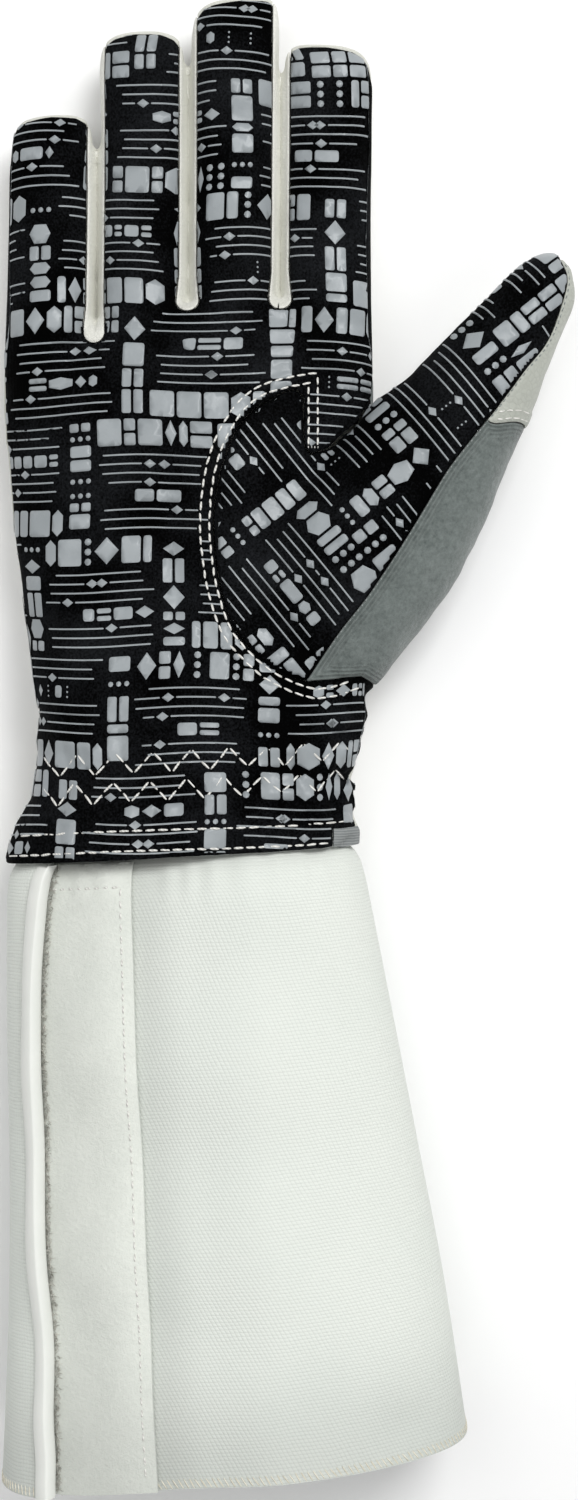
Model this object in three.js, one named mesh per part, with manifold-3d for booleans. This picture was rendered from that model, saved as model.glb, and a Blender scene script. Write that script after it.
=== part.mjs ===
// A right-hand fencing glove, empty, lying on its back with the palm up.
// Millimetres. +Z is up, the fingers point along +Y and the thumb along +X.
// The finished part stands on z = 0 with the middle of its bounding box on the Z axis.
import * as THREE from "three";
import { mergeVertices } from "three/addons/utils/BufferGeometryUtils.js";
import Module from "manifold-3d";

const wasm = await Module();
wasm.setup();

// Hand
const FINGER_WIDTH = 24.2;
const PALM_WIDTH = 4.05 * FINGER_WIDTH; // across the palm: the four fingers side by side
const HAND_LENGTH = 145; // from the wrist hem to the webs between the fingers
const HAND_HEIGHT = 45; // height of the hem off the surface
const HAND_WALL = 1.6; // fabric or leather with its lining
const SEAM_GAP = 0.3; // clear space along every seam

// Fingers, each length measured from the webs to its tip
const LITTLE_LENGTH = 54.5;
const RING_LENGTH = 76.5;
const MIDDLE_LENGTH = 85.5;
const INDEX_LENGTH = 73;
const FINGER_HEIGHT = 22;
const FOURCHETTE_WIDTH = 4.2; // of the white strip that shows between two fingers
const TIP_RIM = 1.3; // of the white back that shows round a finger tip

// Thumb
const THUMB_LENGTH = 119; // from the ball of the hand to the tip
const THUMB_WIDTH = 32;
const THUMB_HEIGHT = 37; // of its top above the surface
const THUMB_TURN = 47.5; // degrees from +X

// Cuff
const CUFF_LENGTH = 155.5; // from the wrist hem to the mouth
const MOUTH_WIDTH = 121.5;
const MOUTH_HEIGHT = 63;
const CUFF_WALL = 2;
const HEM_LAP = 15; // of the cuff inside the wrist hem
const HEM_CLEARANCE = 1.1;
const FLAP_OVERLAP = 25; // of the front panel beyond the flap's free edge

// Closing tapes and binding
const LOOP_THICKNESS = 1.2;
const HOOK_THICKNESS = 1;
const HOOK_WIDTH = 16;
const LAYER_GAP = 0.5; // between the flap, the tapes and the front panel
const BINDING_WIDTH = 3.9;
const BINDING_THICKNESS = 0.8;
const STEP_LENGTH = 34; // over which the front panel sinks from the cuff's face to its place under the tape

// Grey tab at the thumb end of the hem
const TAB_WIDTH = 7;
const TAB_LENGTH = 5;

const TURN = 2 * Math.PI;
const radians = THREE.MathUtils.degToRad;
const HAND_POINTS = 30; // round a section of the palm
const FINGER_POINTS = 14;
const THUMB_POINTS = 18;
const PLAIN_STEPS = 22; // round the cuff between the hook tape and the front panel's step
const FINE_POINTS = 240; // of the outline that the cuff's lengths are measured on

// Sections of the palm, from the hem to the webs. along is a share of HAND_LENGTH, middle and half are
// shares of PALM_WIDTH, low and high of HAND_HEIGHT, turn is in degrees, and arch is a share of
// HAND_LENGTH by which the middle of a section lies further along.
const PALM_ROWS = [
  { along: 0, middle: -0.012, half: 0.474, low: -0.03, high: 1, turn: 3 },
  { along: 0.06, middle: -0.008, half: 0.461, low: -0.02, high: 0.98, turn: 3 },
  { along: 0.115, middle: 0.008, half: 0.439, low: 0.01, high: 0.955, turn: 3 },
  { along: 0.177, middle: 0.022, half: 0.434, low: 0.03, high: 0.93, turn: 2 },
  { along: 0.24, middle: 0.039, half: 0.439, low: 0.035, high: 0.9, turn: 1 },
  { along: 0.308, middle: 0.031, half: 0.444, low: 0.035, high: 0.86, turn: 0 },
  { along: 0.487, middle: 0.014, half: 0.469, low: 0.01, high: 0.75, turn: 0 },
  { along: 0.577, middle: 0.009, half: 0.482, low: 0, high: 0.71, turn: 0 },
  { along: 0.666, middle: 0.006, half: 0.49, low: -0.01, high: 0.685, turn: 0 },
  { along: 0.756, middle: 0.002, half: 0.498, low: -0.02, high: 0.66, turn: 1 },
  { along: 0.839, middle: -0.002, half: 0.504, low: -0.01, high: 0.62, turn: 3 },
  { along: 0.905, middle: -0.003, half: 0.504, low: 0.01, high: 0.575, turn: 5, arch: 0.01 },
  { along: 0.958, middle: -0.002, half: 0.49, low: 0.06, high: 0.51, turn: 7, arch: 0.024 },
  { along: 0.985, middle: 0, half: 0.465, low: 0.15, high: 0.41, turn: 7, arch: 0.024 },
];

// Folds and dents of the palm. along and length are shares of HAND_LENGTH, round and width are shares
// of a turn from the thumb side over the palm, and depth is in millimetres, inwards.
const PALM_FOLDS = [
  { along: 0.1, round: 0.12, length: 0.03, width: 0.03, depth: 1.5 },
  { along: 0.17, round: 0.16, length: 0.03, width: 0.04, depth: 1.9 },
  { along: 0.25, round: 0.13, length: 0.03, width: 0.04, depth: 1.6 },
  { along: 0.14, round: 0.1, length: 0.02, width: 0.02, depth: -1.2 },
  { along: 0.52, round: 0.28, length: 0.14, width: 0.05, depth: 2.2 },
  { along: 0.88, round: 0.3, length: 0.025, width: 0.14, depth: 1 },
  { along: 0.42, round: 0.42, length: 0.05, width: 0.05, depth: 1 },
];

// The four fingers. middle is the root's place and lean the tip's shift, as shares of PALM_WIDTH,
// width and taper are shares of FINGER_WIDTH, and skew turns the blunt tip to one side. web is a share
// of HAND_LENGTH: where the white strip on the finger's thumb side ends.
const FINGERS = [
  { name: "little", middle: -0.379, lean: 0.006, width: 1, taper: 0.955, skew: 0.4, web: 0.928, length: LITTLE_LENGTH },
  { name: "ring", middle: -0.126, lean: -0.002, width: 0.99, taper: 0.97, skew: 0.2, web: 0.988, length: RING_LENGTH },
  { name: "middle", middle: 0.122, lean: 0.004, width: 0.985, taper: 1, skew: 0.65, web: 0.992, length: MIDDLE_LENGTH },
  { name: "index", middle: 0.375, lean: 0.004, width: 1.02, taper: 0.985, skew: -0.55, length: INDEX_LENGTH },
];
const WEB_LINE = 0.98; // share of HAND_LENGTH where the fingers start

// Sections along a finger: along is a share of its length, low and high are shares of FINGER_HEIGHT.
const FINGER_ROWS = [
  { along: -0.4, low: 0.16, high: 1.02 },
  { along: -0.1, low: 0.05, high: 1.12 },
  { along: 0.15, low: 0.03, high: 1.04 },
  { along: 0.5, low: 0.09, high: 0.96 },
  { along: 0.72, low: 0.17, high: 0.95 },
];
const FINGER_END = { low: 0.25, high: 0.95 };

// The blunt tip: back is the distance from the tip as a share of FINGER_WIDTH, wide and tall are
// shares of the finger's last full section.
const TIP_ROWS = [
  { back: 0.5, wide: 1, tall: 1 },
  { back: 0.24, wide: 0.96, tall: 0.93 },
  { back: 0.09, wide: 0.84, tall: 0.74 },
  { back: 0.01, wide: 0.55, tall: 0.42 },
];

// Sections along the thumb: along is a share of THUMB_LENGTH, middle (towards the outer side) and
// half are shares of THUMB_WIDTH, low and high of THUMB_HEIGHT.
const THUMB_ROWS = [
  { along: -0.12, middle: 0.27, half: 0.62, low: 0.12, high: 0.86 },
  { along: 0.01, middle: 0.33, half: 0.83, low: 0.05, high: 0.96 },
  { along: 0.135, middle: 0.355, half: 0.79, low: 0.05, high: 1 },
  { along: 0.25, middle: 0.345, half: 0.77, low: 0.08, high: 1 },
  { along: 0.38, middle: 0.3, half: 0.72, low: 0.13, high: 1 },
  { along: 0.49, middle: 0.24, half: 0.645, low: 0.19, high: 1 },
  { along: 0.59, middle: 0.195, half: 0.525, low: 0.25, high: 0.99 },
  { along: 0.69, middle: 0.134, half: 0.46, low: 0.3, high: 0.97 },
  { along: 0.8, middle: 0.06, half: 0.375, low: 0.35, high: 0.95 },
  { along: 0.885, middle: 0.018, half: 0.325, low: 0.39, high: 0.93 },
  { along: 0.935, middle: 0.003, half: 0.28, low: 0.42, high: 0.905 },
  { along: 0.972, middle: -0.01, half: 0.205, low: 0.46, high: 0.865 },
  { along: 0.994, middle: -0.025, half: 0.12, low: 0.52, high: 0.81 },
];

// Edge of the palm panel round the ball of the thumb, from the crotch over the notch and down to the
// wrist. across is a share of PALM_WIDTH and along of HAND_LENGTH.
const KEYSTONE_EDGE = [
  { across: 0.456, along: 0.784 },
  { across: 0.413, along: 0.759 },
  { across: 0.378, along: 0.735 },
  { across: 0.334, along: 0.723 },
  { across: 0.315, along: 0.741 },
  { across: 0.312, along: 0.828 },
  { across: 0.281, along: 0.84 },
  { across: 0.196, along: 0.811 },
  { across: 0.15, along: 0.779 },
  { across: 0.114, along: 0.735 },
  { across: 0.08, along: 0.654 },
  { across: 0.072, along: 0.577 },
  { across: 0.087, along: 0.49 },
  { across: 0.11, along: 0.434 },
  { across: 0.135, along: 0.398 },
  { across: 0.176, along: 0.365 },
  { across: 0.225, along: 0.337 },
  { across: 0.278, along: 0.318 },
];

// Seam between the thumb's front and back panels, from the wrist to the tip: along is a share of
// THUMB_LENGTH and out a share of THUMB_WIDTH, towards the outer side.
const THUMB_SEAM = [
  { along: -0.07, out: 0.73 },
  { along: 0.05, out: 0.66 },
  { along: 0.156, out: 0.63 },
  { along: 0.27, out: 0.566 },
  { along: 0.378, out: 0.49 },
  { along: 0.468, out: 0.422 },
  { along: 0.55, out: 0.394 },
  { along: 0.66, out: 0.37 },
  { along: 0.748, out: 0.338 },
  { along: 0.84, out: 0.31 },
  { along: 0.937, out: 0.155 },
  { along: 0.97, out: 0.065 },
  { along: 0.987, out: -0.06 },
];

// Lower edge of the thumb's leather cap, from its outer side to its under side, in the same shares.
const CAP_EDGE = [
  { along: 0.72, out: 0.95 },
  { along: 0.665, out: 0.6 },
  { along: 0.612, out: 0.38 },
  { along: 0.68, out: 0.05 },
  { along: 0.76, out: -0.6 },
];

// Edge of the thumb's back panel across the back of the hand, from the crotch to the wrist.
const BACK_EDGE = [
  { across: 0.5, along: 0.8 },
  { across: 0.45, along: 0.765 },
  { across: 0.39, along: 0.712 },
  { across: 0.33, along: 0.65 },
  { across: 0.3, along: 0.5 },
  { across: 0.3, along: 0.4 },
];

// Height of the seam at the hand's edges, as a share of HAND_HEIGHT, along shares of HAND_LENGTH.
const SIDE_SEAM = [
  { along: -0.2, high: 0.45 },
  { along: 0.12, high: 0.45 },
  { along: 0.33, high: 0.36 },
  { along: 0.8, high: 0.35 },
  { along: 1, high: 0.29 },
  { along: 2, high: 0.29 },
];
const THUMB_SIDE_SEAM = [
  { across: -0.2, high: 0.36 },
  { across: 0.46, high: 0.36 },
  { across: 1.04, high: 0.5 },
  { across: 1.5, high: 0.5 },
];

// Sections of the cuff from the hem to the mouth: along is a share of CUFF_LENGTH, out and grow run
// from 0 at the hem to 1 at the mouth, edge and tape are where the flap's edge and the loop tape's
// edge lie, as shares of the width from the little-finger side.
const CUFF_ROWS = [
  { along: 0, out: 0, grow: 0, edge: 0.115, tape: 0.362, turn: 3 },
  { along: 0.25, out: 0.28, grow: 0.26, edge: 0.083, tape: 0.347, turn: 3.8 },
  { along: 0.5, out: 0.58, grow: 0.49, edge: 0.076, tape: 0.336, turn: 4.6 },
  { along: 0.76, out: 0.85, grow: 0.76, edge: 0.094, tape: 0.335, turn: 5.4 },
  { along: 1, out: 1, grow: 1, edge: 0.115, tape: 0.343, turn: 6 },
];
const MOUTH_SHIFT = 13.8; // of the mouth's middle towards the thumb
const FLARE_START = [
  { below: 0, inset: 1 },
  { below: 0.015, inset: 0.5 },
  { below: 0.036, inset: 0.14 },
  { below: 0.07, inset: 0 },
];

// Value of a column at a place along a table, in straight steps between its rows.
function between(rows, place, column, key = "along") {
  const last = rows.length - 1;
  const next = rows.findIndex((row, i) => i > 0 && (place <= row[key] || i === last));
  const [a, b] = [rows[next - 1], rows[next]];
  const [from, to] = [a[column] ?? 0, b[column] ?? 0];
  return from + ((to - from) * (place - a[key])) / (b[key] - a[key]);
}

const bent = (value, power) => Math.sign(value) * Math.abs(value) ** (2 / power);
const smooth = (x) => THREE.MathUtils.smoothstep(x, 0, 1);
const rowPoint = ({ across, along }) => [across * PALM_WIDTH, along * HAND_LENGTH];

// Cushion-shaped outline of a section as [sideways, height] pairs, pressed flat where it rests.
function outline(section, inset, count) {
  const { half, low, high, waist = 0.46, top = 2.3, base = 3, fold = () => 0 } = section;
  const middle = low + (high - low) * waist;
  return Array.from({ length: count }, (_, k) => {
    const angle = (TURN * k) / count;
    const power = angle < Math.PI ? top : base;
    const out = bent(Math.cos(angle), power);
    const up = bent(Math.sin(angle), power);
    const reach = up > 0 ? high - middle : middle - low;
    const sunk = inset + fold(angle / TURN);
    const side = out * (half - sunk);
    return [side, Math.max(middle + up * (reach - sunk), inset)];
  });
}

// Puts a section's outline in space: across its width in the XY plane, and up.
function placed(section, pairs) {
  const [c, s] = [Math.cos(section.turn), Math.sin(section.turn)];
  const arch = (side) => (section.arch ?? 0) * (1 - (side / section.half) ** 2) ** 2;
  return pairs.map(([side, up]) => [section.x + side * c, section.y + side * s + arch(side), up]);
}

// Closed mesh of a row of rings with the same number of points, with flat or fanned ends.
function skin(rings, capOf) {
  const count = rings[0].length;
  const positions = rings.flat(2);
  const faces = [];
  for (let i = 0; i + 1 < rings.length; i += 1) {
    for (let k = 0; k < count; k += 1) {
      const [a, b] = [i * count + k, i * count + ((k + 1) % count)];
      faces.push(a, b, b + count, a, b + count, a + count);
    }
  }
  const lastRing = (rings.length - 1) * count;
  for (const [a, b, c] of capOf(count, positions)) {
    faces.push(a, c, b);
    const end = (i) => (i < count ? i + lastRing : i);
    faces.push(end(a), end(b), end(c));
  }
  const geometry = new THREE.BufferGeometry();
  geometry.setAttribute("position", new THREE.Float32BufferAttribute(positions, 3));
  geometry.setIndex(faces);
  return geometry;
}

// Ends of a plain tube: triangles laid across the ring from side to side.
function acrossCap(count) {
  const triangles = [];
  for (let k = 1; 2 * k < count; k += 1) {
    const [a, b] = [k - 1, k];
    const [c, d] = [(count - k) % count, count - k - 1];
    if (c !== a) triangles.push([a, b, c === 0 ? 0 : c]);
    if (d !== b) triangles.push([c, b, d]);
  }
  return triangles.filter(([a, b, c]) => a !== b && b !== c && a !== c);
}

// Ends of a folded wall: its ring runs along the outer face and back along the inner one.
function wallCap(count) {
  const triangles = [];
  for (let k = 0; 2 * k + 2 < count; k += 1) {
    const [a, b, c, d] = [k, k + 1, count - 2 - k, count - 1 - k];
    triangles.push([a, b, d]);
    if (b !== c) triangles.push([b, c, d]);
  }
  return triangles;
}

// The same closed geometry as a solid that can be joined and cut, always with its faces outwards.
function solid(geometry) {
  const bare = geometry.clone();
  for (const name of Object.keys(bare.attributes)) {
    if (name !== "position") bare.deleteAttribute(name);
  }
  const merged = mergeVertices(bare, 1e-4);
  const triVerts = new Uint32Array(merged.index.array);
  const vertProperties = new Float32Array(merged.attributes.position.array);
  const corner = (i) => new THREE.Vector3().fromArray(vertProperties, 3 * i);
  let volume = 0;
  for (let i = 0; i < triVerts.length; i += 3) {
    const [a, b, c] = [corner(triVerts[i]), corner(triVerts[i + 1]), corner(triVerts[i + 2])];
    volume += a.dot(b.cross(c));
  }
  if (volume < 0) triVerts.reverse();
  return new wasm.Manifold(new wasm.Mesh({ numProp: 3, vertProperties, triVerts }));
}

const tube = (sections, inset, count) =>
  solid(skin(sections.map((section) => placed(section, outline(section, inset, count))), acrossCap));
const joined = (solids) => solids.reduce((sum, next) => sum.add(next));

// Upright block over a closed outline in the XY plane, its edges moved outwards by grow.
function block(points, grow = 0, low = -200, high = 300) {
  const path = grow ? moved(points, grow) : points;
  const shape = new THREE.Shape(path.map(([x, y]) => new THREE.Vector2(x, y)));
  const geometry = new THREE.ExtrudeGeometry(shape, { depth: high - low, bevelEnabled: false });
  return solid(geometry.translate(0, 0, low));
}

// Closed outline with each edge moved outwards by a distance.
function moved(points, distance) {
  const area = points.reduce((sum, [x, y], i) => {
    const [u, v] = points[(i + 1) % points.length];
    return sum + x * v - u * y;
  }, 0);
  const way = Math.sign(area) * distance;
  const normal = (a, b) => {
    const length = Math.hypot(b[0] - a[0], b[1] - a[1]);
    return [(b[1] - a[1]) / length, (a[0] - b[0]) / length];
  };
  return points.map((point, i) => {
    const before = normal(points[(i + points.length - 1) % points.length], point);
    const after = normal(point, points[(i + 1) % points.length]);
    const dot = 1 + before[0] * after[0] + before[1] * after[1];
    return [
      point[0] + (way * (before[0] + after[0])) / dot,
      point[1] + (way * (before[1] + after[1])) / dot,
    ];
  });
}

// Everything above a profile of [place, height] points, run sideways along X or along Y.
function above(profile, alongX, lift) {
  const raised = profile.map(([place, height]) => [place, height + lift]);
  const sky = 300;
  const points = [...raised, [raised.at(-1)[0], sky], [raised[0][0], sky]];
  const shape = new THREE.Shape(points.map(([x, y]) => new THREE.Vector2(x, y)));
  const geometry = new THREE.ExtrudeGeometry(shape, { depth: 600, bevelEnabled: false });
  geometry.translate(0, 0, -300).rotateX(Math.PI / 2);
  return solid(alongX ? geometry.rotateZ(Math.PI / 2) : geometry);
}

// How far the folds push the palm inwards at a share of its length and a share of a turn round it.
function foldDepth(along, round) {
  return PALM_FOLDS.reduce((sum, fold) => {
    const apart = ((round - fold.round) / fold.width) ** 2 + ((along - fold.along) / fold.length) ** 2;
    return sum + fold.depth * Math.exp(-apart);
  }, 0);
}

function palmSection(along) {
  const at = (column) => between(PALM_ROWS, along, column);
  const fold = (round) => {
    const rows = PALM_ROWS.map((row) => ({ along: row.along, depth: foldDepth(row.along, round) }));
    return between(rows, along, "depth");
  };
  return {
    x: at("middle") * PALM_WIDTH,
    y: along * HAND_LENGTH,
    turn: radians(at("turn")),
    half: at("half") * PALM_WIDTH,
    low: at("low") * HAND_HEIGHT,
    high: at("high") * HAND_HEIGHT,
    arch: at("arch") * HAND_LENGTH,
    fold,
  };
}

function fingerSections({ middle, lean, width, taper, skew, length }) {
  const start = WEB_LINE * HAND_LENGTH;
  const widest = (FINGER_WIDTH / 2) * width;
  const place = (along) => (middle + lean * Math.max(along, 0)) * PALM_WIDTH;
  const halfAt = (along) => widest * (1 - (1 - taper) * Math.max(along, 0));
  const body = FINGER_ROWS.filter(({ along }) => along * length < length - 0.6 * FINGER_WIDTH);
  const sections = body.map(({ along, low, high }) => ({
    x: place(along),
    y: start + (along < -0.2 ? -0.23 * HAND_LENGTH : along * length),
    turn: 0,
    half: halfAt(along),
    low: low * FINGER_HEIGHT,
    high: high * FINGER_HEIGHT,
  }));
  const centre = ((FINGER_END.low + FINGER_END.high) / 2) * FINGER_HEIGHT;
  const rise = ((FINGER_END.high - FINGER_END.low) / 2) * FINGER_HEIGHT;
  for (const { back, wide, tall } of TIP_ROWS) {
    sections.push({
      x: place(1) + skew * (1 - wide) * halfAt(1),
      y: start + length - back * FINGER_WIDTH,
      turn: 0,
      half: halfAt(1) * wide,
      low: centre - rise * tall,
      high: centre + rise * tall,
    });
  }
  return sections.map((section) => ({ ...section, waist: 0.5, top: 2.35, base: 2.35 }));
}

const thumbWay = [Math.cos(radians(THUMB_TURN)), Math.sin(radians(THUMB_TURN))];
const thumbRoot = rowPoint({ across: 0.2, along: 0.461 }); // middle of the ball of the thumb

// Point in the XY plane at a distance along the thumb and a distance towards its outer side.
function thumbPoint(along, out) {
  const [t, s] = [along * THUMB_LENGTH, out * THUMB_WIDTH];
  return [thumbRoot[0] + t * thumbWay[0] + s * thumbWay[1], thumbRoot[1] + t * thumbWay[1] - s * thumbWay[0]];
}

const thumbSections = THUMB_ROWS.map(({ along, middle, half, low, high }) => {
  const [x, y] = thumbPoint(along, middle);
  return {
    x,
    y,
    turn: radians(THUMB_TURN - 90),
    half: half * THUMB_WIDTH,
    low: low * THUMB_HEIGHT,
    high: high * THUMB_HEIGHT,
    waist: 0.5,
    top: 2.2,
    base: 2.2,
  };
});

// A section pulled back from its tip, so that the hollow inside ends one wall before it.
const pulled = (way, distance) => (section) => ({
  ...section,
  x: section.x - way[0] * distance,
  y: section.y - way[1] * distance,
});

function handShell() {
  const palm = PALM_ROWS.map(({ along }) => palmSection(along));
  const fingers = FINGERS.map(fingerSections);
  const outside = joined([
    tube(palm, 0, HAND_POINTS),
    ...fingers.map((sections) => tube(sections, 0, FINGER_POINTS)),
    tube(thumbSections, 0, THUMB_POINTS),
  ]);
  const back = pulled([0, 1], HAND_WALL);
  const hem = pulled([0, 1], 3 * HAND_WALL)(palm[0]);
  const inside = joined([
    tube([hem, ...palm.map(back)], HAND_WALL, HAND_POINTS),
    ...fingers.map((sections) => tube(sections.map(back), HAND_WALL, FINGER_POINTS)),
    tube(thumbSections.map(pulled(thumbWay, HAND_WALL)), HAND_WALL, THUMB_POINTS),
  ]);
  return outside.subtract(inside);
}

const sideProfile = SIDE_SEAM.map(({ along, high }) => [along * HAND_LENGTH, high * HAND_HEIGHT]);
const thumbProfile = THUMB_SIDE_SEAM.map(({ across, high }) => [across * PALM_WIDTH, high * HAND_HEIGHT]);

// Outlines of the panels, seen from above.
const crotchOutside = [thumbPoint(1.3, -1.2), thumbPoint(0.75, -1.2), thumbPoint(0.5, -0.47)];
const tipOutside = [thumbPoint(1.1, -0.3), thumbPoint(1.2, -0.8)];
const keystone = KEYSTONE_EDGE.map(rowPoint);
const seam = THUMB_SEAM.map(({ along, out }) => thumbPoint(along, out));
const thumbFrontOutline = [...keystone, ...seam, ...tipOutside, ...crotchOutside];
const wristOutside = [thumbPoint(0.02, 1.04), thumbPoint(0.1, 2.2)];
const thumbOutline = [...keystone, seam[0], ...wristOutside, thumbPoint(1.3, 2.2), ...crotchOutside];
const thumbBackOutline = [
  ...BACK_EDGE.map(rowPoint),
  seam[0],
  ...wristOutside,
  thumbPoint(1.3, 2.2),
  thumbPoint(1.3, -1.2),
  thumbPoint(0.75, -1.2),
  thumbPoint(0.485, -0.43),
];
const capOutline = [
  ...CAP_EDGE.map(({ along, out }) => thumbPoint(along, out)),
  thumbPoint(1.3, -1.2),
  thumbPoint(1.3, 1.6),
  thumbPoint(0.8, 1.6),
];

// White strip between two neighbouring fingers, with its round end over the web.
function fourchetteOutline(left, right) {
  const centre = ((left.middle + right.middle) / 2) * PALM_WIDTH;
  const lean = ((left.lean + right.lean) / 2) * PALM_WIDTH;
  const half = FOURCHETTE_WIDTH / 2;
  const end = 0.67 * FOURCHETTE_WIDTH;
  const web = left.web * HAND_LENGTH;
  const top = WEB_LINE * HAND_LENGTH + Math.max(left.length, right.length) - 0.3 * FINGER_WIDTH;
  const arc = Array.from({ length: 7 }, (_, k) => {
    const angle = Math.PI * (1 + k / 6);
    return [centre + end * Math.cos(angle), web + end + end * Math.sin(angle)];
  });
  const straight = web + 2.4 * FOURCHETTE_WIDTH;
  return [
    ...arc,
    [centre + half, straight],
    [centre + lean + half, top],
    [centre + lean - half, top],
    [centre - half, straight],
  ];
}

// Front of one finger as far as the white rim round its tip.
function fingerFrontOutline(finger) {
  const tips = fingerSections(finger).slice(-TIP_ROWS.length);
  const spare = 3;
  const sides = [-1, 1].map((way) => [
    [tips[0].x + way * (tips[0].half + spare), 0.9 * HAND_LENGTH],
    ...tips.map(({ x, y, half }, i) => [x + way * (half + (i ? 0 : spare)), y - TIP_RIM]),
  ]);
  return [...sides[0], ...sides[1].reverse()];
}

function handPieces() {
  const shell = handShell();
  const half = SEAM_GAP / 2;
  const palmSide = (lift) => above(sideProfile, true, lift);
  const thumbSide = (lift) => above(thumbProfile, false, lift);
  const fronts = (grow) =>
    joined([
      block([
        [-PALM_WIDTH, -0.4 * HAND_LENGTH],
        [PALM_WIDTH, -0.4 * HAND_LENGTH],
        [PALM_WIDTH, 0.95 * HAND_LENGTH],
        [-PALM_WIDTH, 0.95 * HAND_LENGTH],
      ]),
      ...FINGERS.map((finger) => block(fingerFrontOutline(finger), grow)),
    ]);
  const strips = [0, 1, 2].map((i) => fourchetteOutline(FINGERS[i], FINGERS[i + 1]));
  const thumbFront = (grow) => block(thumbFrontOutline, grow).intersect(thumbSide(-grow));
  const tabOutline = tabPoints();
  const tab = (grow) => block(tabOutline, grow).intersect(palmSide(-grow));
  const thumbBackCut = block(thumbBackOutline, half).add(thumbFront(half));
  const stripCut = joined(strips.map((points) => block(points, half)));
  const thumbWhole = block(thumbOutline, half);

  const pieces = {
    palm_panel: shell
      .intersect(palmSide(half))
      .intersect(fronts(-half))
      .subtract(thumbWhole)
      .subtract(stripCut)
      .subtract(tab(half)),
    thumb_front: shell.intersect(thumbFront(-half)),
    thumb_back: shell
      .intersect(block(thumbBackOutline, -half))
      .subtract(thumbFront(half))
      .subtract(block(capOutline, half)),
    thumb_tip_cap: shell.intersect(block(capOutline, -half)).subtract(thumbFront(half)),
    hand_back: shell
      .subtract(palmSide(-half).intersect(fronts(half)))
      .subtract(thumbBackCut)
      .subtract(stripCut),
    hem_tab: shell.intersect(tab(-half)),
  };
  ["little_ring", "ring_middle", "middle_index"].forEach((name, i) => {
    pieces["fourchette_" + name] = shell.intersect(block(strips[i], -half));
  });
  return pieces;
}

function tabPoints() {
  const hem = palmSection(0);
  const right = hem.x + hem.half;
  const rise = Math.tan(hem.turn);
  const edge = (x) => hem.y + (x - hem.x) * rise;
  const [inner, outer] = [right - TAB_WIDTH, right + 20];
  return [
    [inner, edge(inner) - 10],
    [outer, edge(outer) - 10],
    [outer, edge(outer) + TAB_LENGTH],
    [inner, edge(inner) + TAB_LENGTH],
  ];
}

// Section of the cuff at a share of its length below the hem, or a distance inside it if negative.
function cuffSection(along) {
  const hem = palmSection(Math.max(0, (-along * CUFF_LENGTH) / HAND_LENGTH));
  const at = (column) => between(CUFF_ROWS, Math.max(along, 0), column);
  const inset = along < 0 ? 1 : Math.max(between(FLARE_START, along, "inset", "below"), 0);
  const mix = (from, to) => from + (to - from) * at("grow");
  return {
    ...hem,
    x: hem.x + MOUTH_SHIFT * at("out"),
    y: -along * CUFF_LENGTH,
    turn: along < 0 ? hem.turn : radians(at("turn")),
    half: mix(hem.half, MOUTH_WIDTH / 2),
    high: mix(hem.high, MOUTH_HEIGHT),
    sunk: inset * (HAND_WALL + HEM_CLEARANCE),
    edge: at("edge"),
    tape: at("tape"),
  };
}

// Measures lengths round the cuff from the flap's free edge, over the little-finger side, under the
// back and over the front. Returns the point at a length and a depth below the cuff's face.
function cuffPath(section) {
  const fine = outline(section, section.sunk, FINE_POINTS);
  const half = section.half - section.sunk;
  const points = [...fine, fine[0]];
  const lengths = points.reduce((sums, point, k) => {
    const before = points[Math.max(k - 1, 0)];
    return [...sums, (sums.at(-1) ?? 0) + Math.hypot(point[0] - before[0], point[1] - before[1])];
  }, []);
  const round = lengths.at(-1);
  const topLength = (share) => {
    const side = -half + 2 * half * share;
    const next = points.findIndex(([out]) => out < side);
    const part = (points[next - 1][0] - side) / (points[next - 1][0] - points[next][0]);
    return lengths[next - 1] + (lengths[next] - lengths[next - 1]) * part;
  };
  const start = topLength(section.edge);
  const spot = (length) => {
    const rest = (((length + start) % round) + round) % round;
    const next = Math.max(lengths.findIndex((sum) => sum > rest), 1);
    const share = (rest - lengths[next - 1]) / (lengths[next] - lengths[next - 1]);
    const [a, b] = [points[next - 1], points[next]];
    return [a[0] + (b[0] - a[0]) * share, a[1] + (b[1] - a[1]) * share];
  };
  const tapeStart = round + topLength(section.tape) - start;
  const at = (length, depth) => {
    const reach = 2;
    const [here, before, after] = [spot(length), spot(length - reach), spot(length + reach)];
    const way = Math.hypot(after[0] - before[0], after[1] - before[1]);
    const inward = [-(after[1] - before[1]) / way, (after[0] - before[0]) / way];
    return [here[0] + inward[0] * depth, here[1] + inward[1] * depth];
  };
  return { at, round, tapeStart };
}

const CLEAR_OF_HEM = (1.5 * SEAM_GAP) / CUFF_LENGTH;
const hookDepth = CUFF_WALL + LAYER_GAP;
const loopDepth = hookDepth + HOOK_THICKNESS + LAYER_GAP;
const panelDepth = loopDepth + LOOP_THICKNESS + LAYER_GAP;

// How deep the wall's outer face lies at a length round the cuff.
function wallDepth(length, path) {
  return panelDepth * smooth((length - (path.tapeStart - STEP_LENGTH)) / (STEP_LENGTH - 1));
}

const cuffPlaces = [
  -HEM_LAP / CUFF_LENGTH,
  (-PALM_ROWS[1].along * HAND_LENGTH) / CUFF_LENGTH,
  CLEAR_OF_HEM,
  ...FLARE_START.slice(1).map(({ below }) => below),
  ...CUFF_ROWS.slice(1).map(({ along }) => along),
];

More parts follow.
